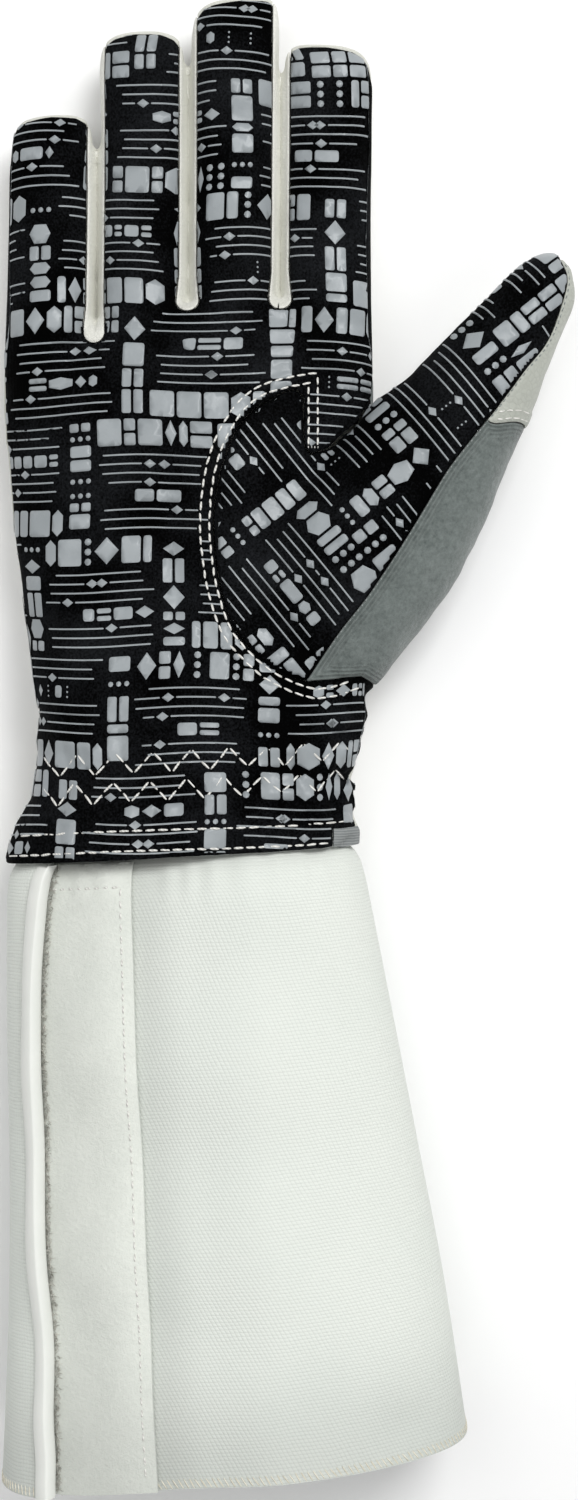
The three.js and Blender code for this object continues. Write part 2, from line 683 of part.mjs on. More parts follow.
// A strip of the cuff: rows of [length, depth] pairs along its outer face, thick by thickness.
function cuffStrip(places, lengthsOf, depthOf, thickness) {
  const rings = places.map((along) => {
    const section = cuffSection(along);
    const path = cuffPath(section);
    const lengths = lengthsOf(path);
    const outer = lengths.map((length) => path.at(length, depthOf(length, path)));
    const inner = lengths.map((length) => path.at(length, depthOf(length, path) + thickness));
    return placed(section, [...outer, ...inner.reverse()]);
  });
  return solid(skin(rings, wallCap));
}

const steps = (from, to, count) => Array.from({ length: count + 1 }, (_, k) => from + ((to - from) * k) / count);

function cuffPieces() {
  const below = cuffPlaces.filter((along) => along > 0);
  const hookStart = BINDING_WIDTH + SEAM_GAP;
  const hookLengths = () => steps(hookStart, hookStart + HOOK_WIDTH, 4);
  const loopLengths = ({ round, tapeStart }) => steps(tapeStart + SEAM_GAP, round + FLAP_OVERLAP, 10);
  const wallLengths = (path) => [
    0,
    ...hookLengths(),
    ...steps(hookStart + HOOK_WIDTH, path.tapeStart - STEP_LENGTH, PLAIN_STEPS).slice(1),
    ...steps(path.tapeStart - STEP_LENGTH, path.tapeStart - 1, 5).slice(1),
    ...loopLengths(path),
    path.round + FLAP_OVERLAP + LOOP_THICKNESS,
  ];
  return {
    cuff_wall: cuffStrip(cuffPlaces, wallLengths, wallDepth, CUFF_WALL),
    loop_tape: cuffStrip(below, loopLengths, () => loopDepth, LOOP_THICKNESS),
    hook_tape: cuffStrip(below, hookLengths, () => hookDepth, HOOK_THICKNESS),
    edge_binding: edgeBinding(below),
  };
}

// Binding folded over the flap's free edge: a U that is open towards the flap.
function edgeBinding(places) {
  const far = BINDING_WIDTH - BINDING_THICKNESS - SEAM_GAP;
  const [near, face] = [-SEAM_GAP, -SEAM_GAP];
  const back = CUFF_WALL + SEAM_GAP;
  const thick = BINDING_THICKNESS;
  const round = 0.7 * thick;
  const outer = [
    [far, face - thick],
    [near - thick + round, face - thick],
    [near - thick, face - thick + round],
    [near - thick, back + thick - round],
    [near - thick + round, back + thick],
    [far, back + thick],
  ];
  const inner = [
    [far, face],
    [near + 0.1, face],
    [near, face + 0.1],
    [near, back - 0.1],
    [near + 0.1, back],
    [far, back],
  ];
  const loop = [...outer, ...inner.reverse()];
  const rings = places.map((along) => {
    const section = cuffSection(along);
    const path = cuffPath(section);
    return placed(section, loop.map(([length, depth]) => path.at(length, depth)));
  });
  return solid(skin(rings, wallCap));
}

// The largest connected body of a solid as a geometry: a cut can leave a crumb at a corner.
function largestBody(made) {
  const { numProp, vertProperties, triVerts } = made.getMesh();
  const geometry = new THREE.BufferGeometry();
  const position = new Float32Array((vertProperties.length / numProp) * 3);
  for (let i = 0; i < position.length / 3; i += 1) {
    position.set(vertProperties.subarray(i * numProp, i * numProp + 3), i * 3);
  }
  const parent = Array.from({ length: position.length / 3 }, (_, i) => i);
  const root = (i) => {
    let top = i;
    while (parent[top] !== top) top = parent[top];
    parent[i] = top;
    return top;
  };
  for (let i = 0; i < triVerts.length; i += 3) {
    parent[root(triVerts[i + 1])] = root(triVerts[i]);
    parent[root(triVerts[i + 2])] = root(triVerts[i]);
  }
  const bodies = new Map();
  for (let i = 0; i < triVerts.length; i += 3) {
    const key = root(triVerts[i]);
    if (!bodies.has(key)) bodies.set(key, []);
    bodies.get(key).push(triVerts[i], triVerts[i + 1], triVerts[i + 2]);
  }
  const largest = [...bodies.values()].reduce((a, b) => (b.length > a.length ? b : a));
  geometry.setAttribute("position", new THREE.BufferAttribute(position, 3));
  geometry.setIndex(largest);
  return mergeVertices(geometry, 1e-4);
}

const BLACK_FABRIC = { color: "#17181b", roughness: 0.85, metalness: 0 };
const WHITE_LEATHER = { color: "#e9e8e3", roughness: 0.55, metalness: 0 };
const GREY_SUEDE = { color: "#7d8083", roughness: 0.9, metalness: 0 };
const WHITE_KNIT = { color: "#e4e6e2", roughness: 0.9, metalness: 0 };
const LOOKS = {
  palm_panel: BLACK_FABRIC,
  thumb_front: BLACK_FABRIC,
  thumb_back: GREY_SUEDE,
  thumb_tip_cap: { ...WHITE_LEATHER, color: "#dcdad3" },
  hand_back: WHITE_LEATHER,
  hem_tab: { ...GREY_SUEDE, color: "#8f9190" },
  fourchette_little_ring: WHITE_LEATHER,
  fourchette_ring_middle: WHITE_LEATHER,
  fourchette_middle_index: WHITE_LEATHER,
  cuff_wall: WHITE_KNIT,
  loop_tape: { ...WHITE_KNIT, color: "#dfe0da", roughness: 0.95 },
  hook_tape: { ...WHITE_KNIT, color: "#d6d7d3", roughness: 0.7 },
  edge_binding: { ...WHITE_KNIT, color: "#f3f4f1", roughness: 0.6 },
};

function group(name, pieces) {
  const made = new THREE.Group();
  made.name = name;
  for (const [piece, body] of Object.entries(pieces)) {
    const mesh = new THREE.Mesh(largestBody(body), new THREE.MeshStandardMaterial(LOOKS[piece]));
    mesh.name = piece;
    made.add(mesh);
  }
  return made;
}

const glove = new THREE.Group();
glove.name = "fencing_glove";
glove.add(group("hand", handPieces()), group("cuff", cuffPieces()));

// The glove stands on z = 0, centred on the Z axis.
const box = new THREE.Box3().setFromObject(glove);
const centre = box.getCenter(new THREE.Vector3());
glove.position.set(-centre.x, -centre.y, -box.min.z);

export default glove;
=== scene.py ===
import math

import bmesh
import bpy
import numpy as np
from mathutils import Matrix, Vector
from mathutils.bvhtree import BVHTree
from mathutils.kdtree import KDTree


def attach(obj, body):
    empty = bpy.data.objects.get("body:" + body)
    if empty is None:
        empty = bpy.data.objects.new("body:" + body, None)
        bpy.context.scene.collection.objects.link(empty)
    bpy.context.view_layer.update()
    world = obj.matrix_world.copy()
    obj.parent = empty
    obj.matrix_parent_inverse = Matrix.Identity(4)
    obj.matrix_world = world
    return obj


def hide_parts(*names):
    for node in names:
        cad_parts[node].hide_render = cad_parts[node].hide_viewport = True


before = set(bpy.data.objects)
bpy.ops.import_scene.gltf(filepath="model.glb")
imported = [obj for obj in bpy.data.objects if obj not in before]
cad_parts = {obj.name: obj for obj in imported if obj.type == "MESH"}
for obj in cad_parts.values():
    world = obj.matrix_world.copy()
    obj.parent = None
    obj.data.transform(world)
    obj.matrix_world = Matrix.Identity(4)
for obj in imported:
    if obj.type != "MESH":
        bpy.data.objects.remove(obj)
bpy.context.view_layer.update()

# A right-hand fencing glove that lies on its back with the palm up. Lengths are millimetres in the maker's
# own frame: the middle of the wrist hem is the origin, the fingers point along +Y and the thumb along +X.
# PLACE moves that frame into the row frame, and only new_mesh() and put_points() turn it to metres.
PLACE = np.array([-26.415, -32.754, 0.0])
MM = 0.001

# Hand
FINGER_WIDTH = 24.2
PALM_WIDTH = 4.05 * FINGER_WIDTH
HAND_LENGTH = 145.0
HAND_HEIGHT = 45.0
HAND_WALL = 1.6
FINGER_HEIGHT = 22.0
STRIP_WIDTH = 4.2
TIP_RIM = 1.3
WEB_LINE = 0.98
THUMB_LENGTH = 119.0
THUMB_WIDTH = 32.0
THUMB_HEIGHT = 37.0
THUMB_TURN = math.radians(47.5)

# Cuff
CUFF_LENGTH = 155.5
MOUTH_WIDTH = 121.5
MOUTH_HEIGHT = 63.0
MOUTH_SHIFT = 13.8
CUFF_WALL = 2.0
HEM_LAP = 15.0
HEM_CLEARANCE = 1.1
FLAP_OVERLAP = 25.0
LAYER_GAP = 0.5
LOOP_THICKNESS = 1.2
HOOK_THICKNESS = 1.0
HOOK_WIDTH = 16.0
BINDING_WIDTH = 3.9
BINDING_THICKNESS = 0.8
STEP_LENGTH = 34.0

# along, middle, half, low, high, turn, arch
PALM_ROWS = [
    (-0.06, -0.012, 0.474, -0.03, 1, 3, 0),
    (0, -0.012, 0.474, -0.03, 1, 3, 0),
    (0.06, -0.008, 0.461, -0.02, 0.98, 3, 0),
    (0.115, 0.008, 0.439, 0.01, 0.955, 3, 0),
    (0.177, 0.022, 0.434, 0.03, 0.93, 2, 0),
    (0.24, 0.039, 0.439, 0.035, 0.9, 1, 0),
    (0.308, 0.031, 0.444, 0.035, 0.86, 0, 0),
    (0.487, 0.014, 0.469, 0.01, 0.75, 0, 0),
    (0.577, 0.009, 0.482, 0, 0.71, 0, 0),
    (0.666, 0.006, 0.49, -0.01, 0.685, 0, 0),
    (0.756, 0.002, 0.498, -0.02, 0.66, 1, 0),
    (0.839, -0.002, 0.504, -0.01, 0.62, 3, 0),
    (0.905, -0.003, 0.504, 0.01, 0.575, 5, 0.01),
    (0.958, -0.002, 0.49, 0.06, 0.51, 7, 0.024),
    (0.985, 0, 0.465, 0.15, 0.41, 7, 0.024),
]
# along, round, length, width, depth
PALM_FOLDS = [
    (0.1, 0.12, 0.03, 0.03, 1.5),
    (0.17, 0.16, 0.03, 0.04, 1.9),
    (0.25, 0.13, 0.03, 0.04, 1.6),
    (0.14, 0.1, 0.02, 0.02, -1.2),
    (0.52, 0.28, 0.14, 0.05, 2.2),
    (0.88, 0.3, 0.025, 0.14, 1.0),
    (0.42, 0.42, 0.05, 0.05, 1.0),
]
# middle, lean, width, taper, skew, web, length
FINGERS = {
    "little": (-0.379, 0.006, 1, 0.955, 0.4, 0.928, 54.5),
    "ring": (-0.126, -0.002, 0.99, 0.97, 0.2, 0.988, 76.5),
    "middle": (0.122, 0.004, 0.985, 1, 0.65, 0.992, 85.5),
    "index": (0.375, 0.004, 1.02, 0.985, -0.55, 1.0, 73.0),
}
# along, low, high
FINGER_ROWS = [
    (-0.4, 0.16, 1.02), (-0.1, 0.05, 1.12), (0.15, 0.03, 1.04), (0.5, 0.09, 0.96), (0.72, 0.17, 0.95),
]
# Low and high of the last section before the tip, then the tip's own sections: back from the end, wide, tall
FINGER_END = (0.25, 0.95)
TIP_ROWS = [(0.5, 1, 1), (0.24, 0.96, 0.93), (0.09, 0.84, 0.74), (0.01, 0.55, 0.42)]
# along, middle, half, low, high
THUMB_ROWS = [
    (-0.12, 0.27, 0.62, 0.12, 0.86),
    (0.01, 0.33, 0.83, 0.05, 0.96),
    (0.135, 0.355, 0.79, 0.05, 1),
    (0.25, 0.345, 0.77, 0.08, 1),
    (0.38, 0.3, 0.72, 0.13, 1),
    (0.49, 0.24, 0.645, 0.19, 1),
    (0.59, 0.195, 0.525, 0.25, 0.99),
    (0.69, 0.134, 0.46, 0.3, 0.97),
    (0.8, 0.06, 0.375, 0.35, 0.95),
    (0.885, 0.018, 0.325, 0.39, 0.93),
    (0.935, 0.003, 0.28, 0.42, 0.905),
    (0.972, -0.01, 0.205, 0.46, 0.865),
    (0.994, -0.025, 0.12, 0.52, 0.81),
]
THUMB_ROOT = np.array([0.2 * PALM_WIDTH, 0.461 * HAND_LENGTH])
THUMB_WAY = np.array([math.cos(THUMB_TURN), math.sin(THUMB_TURN)])
THUMB_SIDE = np.array([THUMB_WAY[1], -THUMB_WAY[0]])
# across, along
BALL_EDGE = [
    (0.456, 0.784), (0.413, 0.759), (0.378, 0.735), (0.334, 0.723), (0.315, 0.741), (0.312, 0.828),
    (0.281, 0.84), (0.196, 0.811), (0.15, 0.779), (0.114, 0.735), (0.08, 0.654), (0.072, 0.577),
    (0.087, 0.49), (0.11, 0.434), (0.135, 0.398), (0.176, 0.365), (0.225, 0.337), (0.278, 0.318),
]
# Outer stitch row of the lap round the ball, x and y: up the notch, then round the ball
LAP_STITCH = [
    (34.2, 106.7), (34.3, 126.4), (30.1, 125.6), (23.4, 124.0), (18.1, 121.9), (13.5, 118.0), (10.8, 114.1),
    (7.6, 108.2), (5.6, 102.2), (4.3, 95.7), (3.8, 90.1), (3.6, 83.6), (4.3, 77.1), (5.3, 70.3), (7.7, 61.7),
    (10.4, 55.7), (14.9, 50.5), (20.2, 45.8), (26.1, 42.7), (32.6, 40.6), (38.6, 41.2), (45.2, 43.6),
]
# along, out
THUMB_SEAM = [
    (-0.07, 0.73), (0.05, 0.66), (0.156, 0.63), (0.27, 0.566), (0.378, 0.49), (0.468, 0.422), (0.55, 0.394),
    (0.66, 0.37), (0.748, 0.338), (0.84, 0.31), (0.937, 0.155), (0.97, 0.065), (0.987, -0.06),
]
CAP_EDGE = [(0.72, 0.95), (0.665, 0.6), (0.612, 0.38), (0.68, 0.05), (0.76, -0.6)]
BACK_EDGE = [(0.5, 0.8), (0.45, 0.765), (0.39, 0.712), (0.33, 0.65), (0.3, 0.5), (0.3, 0.4)]
SIDE_SEAM = [(-0.2, 0.45), (0.12, 0.45), (0.33, 0.36), (0.8, 0.35), (1, 0.29), (2, 0.29)]
THUMB_SIDE_SEAM = [(-0.2, 0.36), (0.46, 0.36), (1.04, 0.5), (1.5, 0.5)]
# along, out, grow, edge, tape, turn
CUFF_ROWS = [
    (0, 0, 0, 0.115, 0.362, 3),
    (0.25, 0.28, 0.26, 0.083, 0.347, 3.8),
    (0.5, 0.58, 0.49, 0.076, 0.336, 4.6),
    (0.76, 0.85, 0.76, 0.094, 0.335, 5.4),
    (1, 1, 1, 0.115, 0.343, 6),
]
FLARE_START = [(0, 1), (0.012, 0.5), (0.03, 0.14), (0.06, 0)]


# Shapes.

def smooth(x):
    """Soft step from 0 to 1."""
    x = np.clip(x, 0, 1)
    return x * x * (3 - 2 * x)


def column(rows, n, places):
    """Column n of a table at places along its first column, in curves that never overshoot a row."""
    x = np.array([row[0] for row in rows], float)
    y = np.array([row[n] for row in rows], float)
    gap = np.diff(x)
    rise = np.diff(y) / gap
    slope = np.zeros(len(x))
    both = rise[:-1] * rise[1:]
    total = np.where(both > 0, rise[:-1] + rise[1:], 1)
    slope[1:-1] = np.where(both > 0, 2 * both / total, 0)
    slope[0], slope[-1] = rise[0], rise[-1]
    p = np.clip(places, x[0], x[-1])
    i = np.clip(np.searchsorted(x, p) - 1, 0, len(gap) - 1)
    t = (p - x[i]) / gap[i]
    a, b = y[i], y[i + 1]
    c, d = slope[i] * gap[i], slope[i + 1] * gap[i]
    return a + t * (c + t * (3 * (b - a) - 2 * c - d + t * (2 * (a - b) + c + d)))


def cushion(half, low, high, count, waist=0.46, top=2.3, base=3.0, inset=0.0):
    """Outline of a section as sideways and height values, pressed flat where it rests."""
    angle = 2 * np.pi * np.arange(count) / count
    power = np.where(np.arange(count) < count / 2, top, base)
    out = np.sign(np.cos(angle)) * np.abs(np.cos(angle)) ** (2 / power)
    up = np.sign(np.sin(angle)) * np.abs(np.sin(angle)) ** (2 / power)
    middle = low + (high - low) * waist
    reach = np.where(up > 0, high - middle, middle - low)
    return out * (half - inset), np.maximum(middle + up * (reach - inset), inset)


def palm_ring(along, count):
    """One section of the palm as points."""
    at = lambda n: float(column(PALM_ROWS, n, along))
    half, turn = at(2) * PALM_WIDTH, math.radians(at(5))
    side, up = cushion(half, at(3) * HAND_HEIGHT, at(4) * HAND_HEIGHT, count)
    arch = at(6) * HAND_LENGTH * (1 - np.clip(side / half, -1, 1) ** 2) ** 2
    x = at(1) * PALM_WIDTH + side * math.cos(turn)
    return np.stack([x, along * HAND_LENGTH + side * math.sin(turn) + arch, up], 1)


def finger_rows(name):
    """Sections of a finger: place along Y, place across, half width, low and high."""
    middle, lean, width, taper, skew, web, length = FINGERS[name]
    start = WEB_LINE * HAND_LENGTH
    widest = FINGER_WIDTH / 2 * width - 0.25
    half_at = lambda along: widest * (1 - (1 - taper) * max(along, 0))
    rows = []
    for along, low, high in FINGER_ROWS:
        if along * length < length - 0.6 * FINGER_WIDTH:
            y = start + (-0.23 * HAND_LENGTH if along < -0.2 else along * length)
            x = (middle + lean * max(along, 0)) * PALM_WIDTH
            rows.append((y, x, half_at(along), low * FINGER_HEIGHT, high * FINGER_HEIGHT))
    centre = sum(FINGER_END) / 2 * FINGER_HEIGHT
    rise = (FINGER_END[1] - FINGER_END[0]) / 2 * FINGER_HEIGHT
    for back, wide, tall in TIP_ROWS + [(-0.012, 0.3, 0.2)]:
        x = (middle + lean) * PALM_WIDTH + skew * (1 - wide) * half_at(1)
        y = start + length - back * FINGER_WIDTH
        rows.append((y, x, half_at(1) * wide, centre - rise * tall, centre + rise * tall))
    return rows


def finger_ring(rows, y, count):
    at = lambda n: float(column(rows, n, y))
    side, up = cushion(at(2), at(3), at(4), count, 0.5, 2.35, 2.35)
    return np.stack([at(1) + side, np.full(count, y), up], 1)


def thumb_point(along, out):
    """Place in the XY plane at a distance along the thumb and one towards its outer side, as shares."""
    return THUMB_ROOT + THUMB_WAY * along * THUMB_LENGTH + THUMB_SIDE * out * THUMB_WIDTH


def thumb_ring(along, count):
    at = lambda n: float(column(THUMB_ROWS, n, along))
    side, up = cushion(at(2) * THUMB_WIDTH, at(3) * THUMB_HEIGHT, at(4) * THUMB_HEIGHT, count, 0.5, 2.2, 2.2)
    middle = thumb_point(along, at(1))
    return np.stack([middle[0] + side * THUMB_SIDE[0], middle[1] + side * THUMB_SIDE[1], up], 1)


# Meshes.

def new_mesh(name, points, faces, uv=None):
    """A mesh object from points in the maker's frame."""
    mesh = bpy.data.meshes.new(name)
    mesh.from_pydata(((np.asarray(points) + PLACE) * MM).tolist(), [], faces)
    if uv is not None:
        layer = mesh.uv_layers.new(name="cloth")
        corner = np.zeros(len(mesh.loops), np.int32)
        mesh.loops.foreach_get("vertex_index", corner)
        layer.data.foreach_set("uv", np.asarray(uv, np.float32)[corner].ravel())
    obj = bpy.data.objects.new(name, mesh)
    bpy.context.scene.collection.objects.link(obj)
    return obj


def points_of(obj):
    flat = np.empty(len(obj.data.vertices) * 3)
    obj.data.vertices.foreach_get("co", flat)
    return flat.reshape(-1, 3) / MM - PLACE


def normals_of(obj):
    flat = np.empty(len(obj.data.vertices) * 3)
    obj.data.vertices.foreach_get("normal", flat)
    return flat.reshape(-1, 3)


def put_points(obj, points):
    obj.data.vertices.foreach_set("co", ((points + PLACE) * MM).ravel())
    obj.data.update()


def only(obj):
    bpy.ops.object.select_all(action="DESELECT")
    obj.select_set(True)
    bpy.context.view_layer.objects.active = obj


def finish_with(obj, kind, **settings):
    """Adds a modifier and applies it."""
    only(obj)
    modifier = obj.modifiers.new(kind.lower(), kind)
    for name, value in settings.items():
        setattr(modifier, name, value)
    bpy.ops.object.modifier_apply(modifier=modifier.name)


def remove(*objects):
    for obj in objects:
        bpy.data.objects.remove(obj, do_unlink=True)


def tube_faces(rows, count):
    faces = []
    for i in range(rows - 1):
        for k in range(count):
            a, b = i * count + k, i * count + (k + 1) % count
            faces.append((a, b, b + count, a + count))
    return faces


def tube(name, rings):
    """Closed mesh of a row of rings."""
    count = len(rings[0])
    last = (len(rings) - 1) * count
    faces = tube_faces(len(rings), count)
    faces += [tuple(reversed(range(count))), tuple(last + k for k in range(count))]
    obj = new_mesh(name, np.concatenate(rings), faces)
    face_out(obj)
    return obj


def face_out(obj):
    """Turns a closed mesh the right way round."""
    mesh = bmesh.new()
    mesh.from_mesh(obj.data)
    bmesh.ops.recalc_face_normals(mesh, faces=mesh.faces)
    if mesh.calc_volume(signed=True) < 0:
        bmesh.ops.reverse_faces(mesh, faces=mesh.faces)
    mesh.to_mesh(obj.data)
    mesh.free()


def block(name, outline, low=-20, high=90, along="z"):
    """Closed block over an outline: upright, or lying along X or along Y."""
    outline = np.asarray(outline, float)
    count = len(outline)
    ends = []
    for end in (low, high):
        far = np.full(count, float(end))
        parts = {"z": (outline[:, 0], outline[:, 1], far), "x": (far, outline[:, 0], outline[:, 1]),
                 "y": (outline[:, 0], far, outline[:, 1])}[along]
        ends.append(np.stack(parts, 1))
    lids = [tuple(range(count)), tuple(range(count, 2 * count))]
    obj = new_mesh(name, np.concatenate(ends), tube_faces(2, count) + lids)
    face_out(obj)
    return obj


def curve(points, steps):
    """A smooth line through points."""
    points = np.asarray(points, float)
    padded = np.concatenate([[2 * points[0] - points[1]], points, [2 * points[-1] - points[-2]]])
    line = []
    for i in range(len(points) - 1):
        a, b, c, d = padded[i:i + 4]
        for t in np.arange(steps) / steps:
            square, cube = 2 * a - 5 * b + 4 * c - d, 3 * b - a - 3 * c + d
            line.append(0.5 * (2 * b + (c - a) * t + square * t ** 2 + cube * t ** 3))
    return np.array(line + [points[-1]])


def cut(obj, cutter, operation):
    finish_with(obj, "BOOLEAN", operation=operation, solver="MANIFOLD", object=cutter)


def copy_of(obj, name):
    made = obj.copy()
    made.data = obj.data.copy()
    made.name = name
    bpy.context.scene.collection.objects.link(made)
    return made


# The hand's outer skin.

WAVES = 18


def wave_noise(points, size, seed):
    """Soft random swelling from -1 to 1 with lumps of about a size in millimetres."""
    rng = np.random.default_rng(seed)
    total = np.zeros(len(points))
    for _ in range(WAVES):
        way = rng.normal(size=3)
        way *= 2 * np.pi / (size * rng.uniform(0.7, 1.6)) / np.linalg.norm(way)
        total += np.sin(points @ way + rng.uniform(0, 2 * np.pi))
    return total / math.sqrt(WAVES)


# Folds of the gathered wrist and creases of the palm: from, to, width, height.
CREASES = [
    (20, 40, 47, 36, 2.0, 0.9), (26, 33, 48, 31, 1.4, -1.0), (18, 27, 47, 27, 1.7, 0.8),
    (27, 22, 47, 20, 1.3, -0.9), (22, 16, 46, 17, 1.7, 0.9), (30, 11, 46, 10, 1.2, -0.8),
    (25, 5, 46, 6, 1.6, 0.7), (33, 30, 40, 12, 1.5, -0.8), (28, 26, 34, 6, 1.3, -0.6),
    (40, 38, 43, 24, 1.4, 0.7), (10, 34, 26, 25, 1.8, -0.6), (4, 24, 22, 18, 1.7, -0.5),
    (-44, 38, -24, 34, 2.4, -0.5), (-44, 30, -20, 28, 2.0, 0.4), (-43, 14, -26, 12, 2.0, -0.4),
    (-42, 132, -12, 137, 2.4, -0.7), (-12, 137, 20, 141, 2.6, -0.8), (20, 141, 46, 139, 2.4, -0.6),
    (-40, 126, -8, 129, 2.6, 0.5), (2, 131, 44, 131, 3.0, 0.5),
    (-6, 102, -2, 60, 3.4, -1.0), (-30, 78, -16, 52, 3.6, -0.6),
    (-36, 108, -10, 104, 3.2, -0.4), (8, 118, 40, 124, 3.0, -0.4), (-34, 44, -8, 50, 3.0, -0.5),
]


def relief(points):
    """How far the skin stands out from its plain shape, over the palm side."""
    x, y, z = points.T
    up = smooth((z - 12) / 10)
    lift = np.zeros(len(points))
    for x0, y0, x1, y1, width, height in CREASES:
        way = np.array([x1 - x0, y1 - y0], float)
        length = np.hypot(*way)
        way /= length
        run = (x - x0) * way[0] + (y - y0) * way[1]
        off = (x - x0) * way[1] - (y - y0) * way[0]
        off = off + 0.7 * np.sin(run / 5.1 + x0)
        fade = smooth((run + 4) / 8) * smooth((length + 4 - run) / 8)
        lift += 1.25 * height * np.exp(-(off / width) ** 2) * fade
    wrist = smooth((44 - y) / 12) * smooth((y + 1) / 4)
    lift += wrist * 0.22 * np.sin(x * 1.25 + 0.8 * np.sin(y / 4)) * smooth((x + 60) / 30)
    lift += wrist * (0.15 + 0.45 * smooth((x - 8) / 25)) * wave_noise(points * [0.7, 1.6, 1], 8, 5)
    for name, (middle, lean, _, _, _, _, length) in FINGERS.items():
        beside_it = np.exp(-((x - middle * PALM_WIDTH) / 11) ** 4)
        for share, height in ((0.3, -0.45), (0.37, 0.3), (0.62, -0.4), (0.69, 0.25)):
            line = WEB_LINE * HAND_LENGTH + share * length + 1.2 * np.sin(x / 5 + middle * 9)
            lift += height * beside_it * np.exp(-((y - line) / 2.2) ** 2)
    lift += 0.6 * wave_noise(points, 46, 1) + 0.22 * wave_noise(points, 15, 2) + 0.07 * wave_noise(points, 5, 4)
    return lift * up + 0.22 * (1 - up) * wave_noise(points, 40, 3)


def hand_skin():
    """The closed outer face of the whole hand, as one mesh."""
    round_count, row_count, first, last = 150, 110, PALM_ROWS[0][0], PALM_ROWS[-1][0]
    rings = [palm_ring(along, round_count) for along in np.linspace(first, last, row_count)]
    for i, row in enumerate(rings):
        turn = np.arange(round_count) / round_count
        along = first + (last - first) * i / (row_count - 1)
        depth = sum(d * np.exp(-((turn - r) / w) ** 2 - ((along - a) / l) ** 2) for a, r, l, w, d in PALM_FOLDS)
        row[:, 2] = np.maximum(row[:, 2] - depth * np.sin(2 * np.pi * turn), 0)
        row[:, 0] -= depth * np.cos(2 * np.pi * turn)
    parts = [tube("palm_tube", rings)]
    for name in FINGERS:
        rows = finger_rows(name)
        last = rows[-1][0]
        tip_places = last - 12 * np.cos(np.linspace(0, np.pi / 2, 22)[1:])
        places = np.concatenate([np.linspace(rows[0][0], last - 12, 40), tip_places])
        parts.append(tube(name + "_tube", [finger_ring(rows, y, 64) for y in places]))
    places = np.concatenate([np.linspace(-0.12, 0.9, 60), np.linspace(0.905, 0.994, 14)])
    parts.append(tube("thumb_tube", [thumb_ring(along, 96) for along in places]))
    bpy.ops.object.select_all(action="DESELECT")
    for part in parts:
        part.select_set(True)
    bpy.context.view_layer.objects.active = parts[0]
    bpy.ops.object.join()
    skin = parts[0]
    skin.name = "hand_skin"
    finish_with(skin, "REMESH", mode="VOXEL", voxel_size=0.0008)
    finish_with(skin, "SMOOTH", factor=0.5, iterations=5)
    points = points_of(skin)
    points += normals_of(skin) * relief(points)[:, None]
    points[:, 2] = np.maximum(points[:, 2], 0)
    put_points(skin, points)
    finish_with(skin, "TRIANGULATE")
    mark = skin.data.attributes.new("skin", "INT", "FACE")
    mark.data.foreach_set("value", np.ones(len(skin.data.polygons), np.int32))
    return skin


# Panels cut from the skin.

def across_palm(rows):
    return np.array([(across * PALM_WIDTH, along * HAND_LENGTH) for across, along in rows])


def rounded(points, corners):
    """A line through points that turns softly, but for the corners named by their places."""
    points = np.asarray(points, float)
    stops = [0, *corners, len(points) - 1]
    parts = []
    for a, b in zip(stops[:-1], stops[1:]):
        parts.append(curve(points[a:b + 1], 5)[:-1] if b - a > 1 else points[a:b])
    return np.concatenate([*parts, points[-1:]])


def widened(outline, distance):
    """The outline with its edges moved outwards."""
    outline = np.asarray(outline, float)
    x, y = outline.T
    turn = np.sign(np.sum(x * np.roll(y, -1) - y * np.roll(x, -1)))
    def normal(a, b):
        way = b - a
        way = way / np.maximum(np.linalg.norm(way, axis=1), 1e-9)[:, None]
        return np.stack([way[:, 1], -way[:, 0]], 1)
    before = normal(np.roll(outline, 1, 0), outline)
    after = normal(outline, np.roll(outline, -1, 0))
    dot = np.maximum(1 + (before * after).sum(1), 0.4)
    return outline + turn * distance * (before + after) / dot[:, None]


def fourchette_outline(left, right):
    centre = (left[0] + right[0]) / 2 * PALM_WIDTH
    lean = (left[1] + right[1]) / 2 * PALM_WIDTH
    half, end = STRIP_WIDTH / 2, 0.67 * STRIP_WIDTH
    web = left[5] * HAND_LENGTH
    top = WEB_LINE * HAND_LENGTH + max(left[6], right[6]) - 0.02 * FINGER_WIDTH
    angle = np.pi * (1 + np.arange(17) / 16)
    arc = np.stack([centre + end * np.cos(angle), web + end + end * np.sin(angle)], 1)
    straight = web + 2.4 * STRIP_WIDTH
    side = [(centre + half, straight), (centre + lean + half, top)]
    side += [(centre + lean - half, top), (centre - half, straight)]
    return np.concatenate([arc, side])


def finger_front(name):
    rows = finger_rows(name)
    end = rows[-1][0]
    places = np.concatenate([[0.9 * HAND_LENGTH, end - 15], end - 12.5 * np.cos(np.linspace(0, np.pi / 2, 16))])
    x, half = column(rows, 1, places), column(rows, 2, places)
    spare = 3 * smooth((end - 8 - places) / 5)
    left = np.stack([x - half - spare, places - TIP_RIM], 1)
    right = np.stack([x + half + spare, places - TIP_RIM], 1)
    left[0, 1] = right[0, 1] = 0.9 * HAND_LENGTH
    return np.concatenate([left, right[::-1]])


def hem_line(x):
    row = PALM_ROWS[1]
    return (x - row[1] * PALM_WIDTH) * math.tan(math.radians(row[5]))


def sky_block(name, rows, scale, along, lift):
    """Everything above a side seam."""
    line = curve([(place * scale, high * HAND_HEIGHT) for place, high in rows], 6) + [0, lift]
    outline = np.concatenate([line, [(line[-1][0], 95), (line[0][0], 95)]])
    return block(name, outline, -140, 260, along)


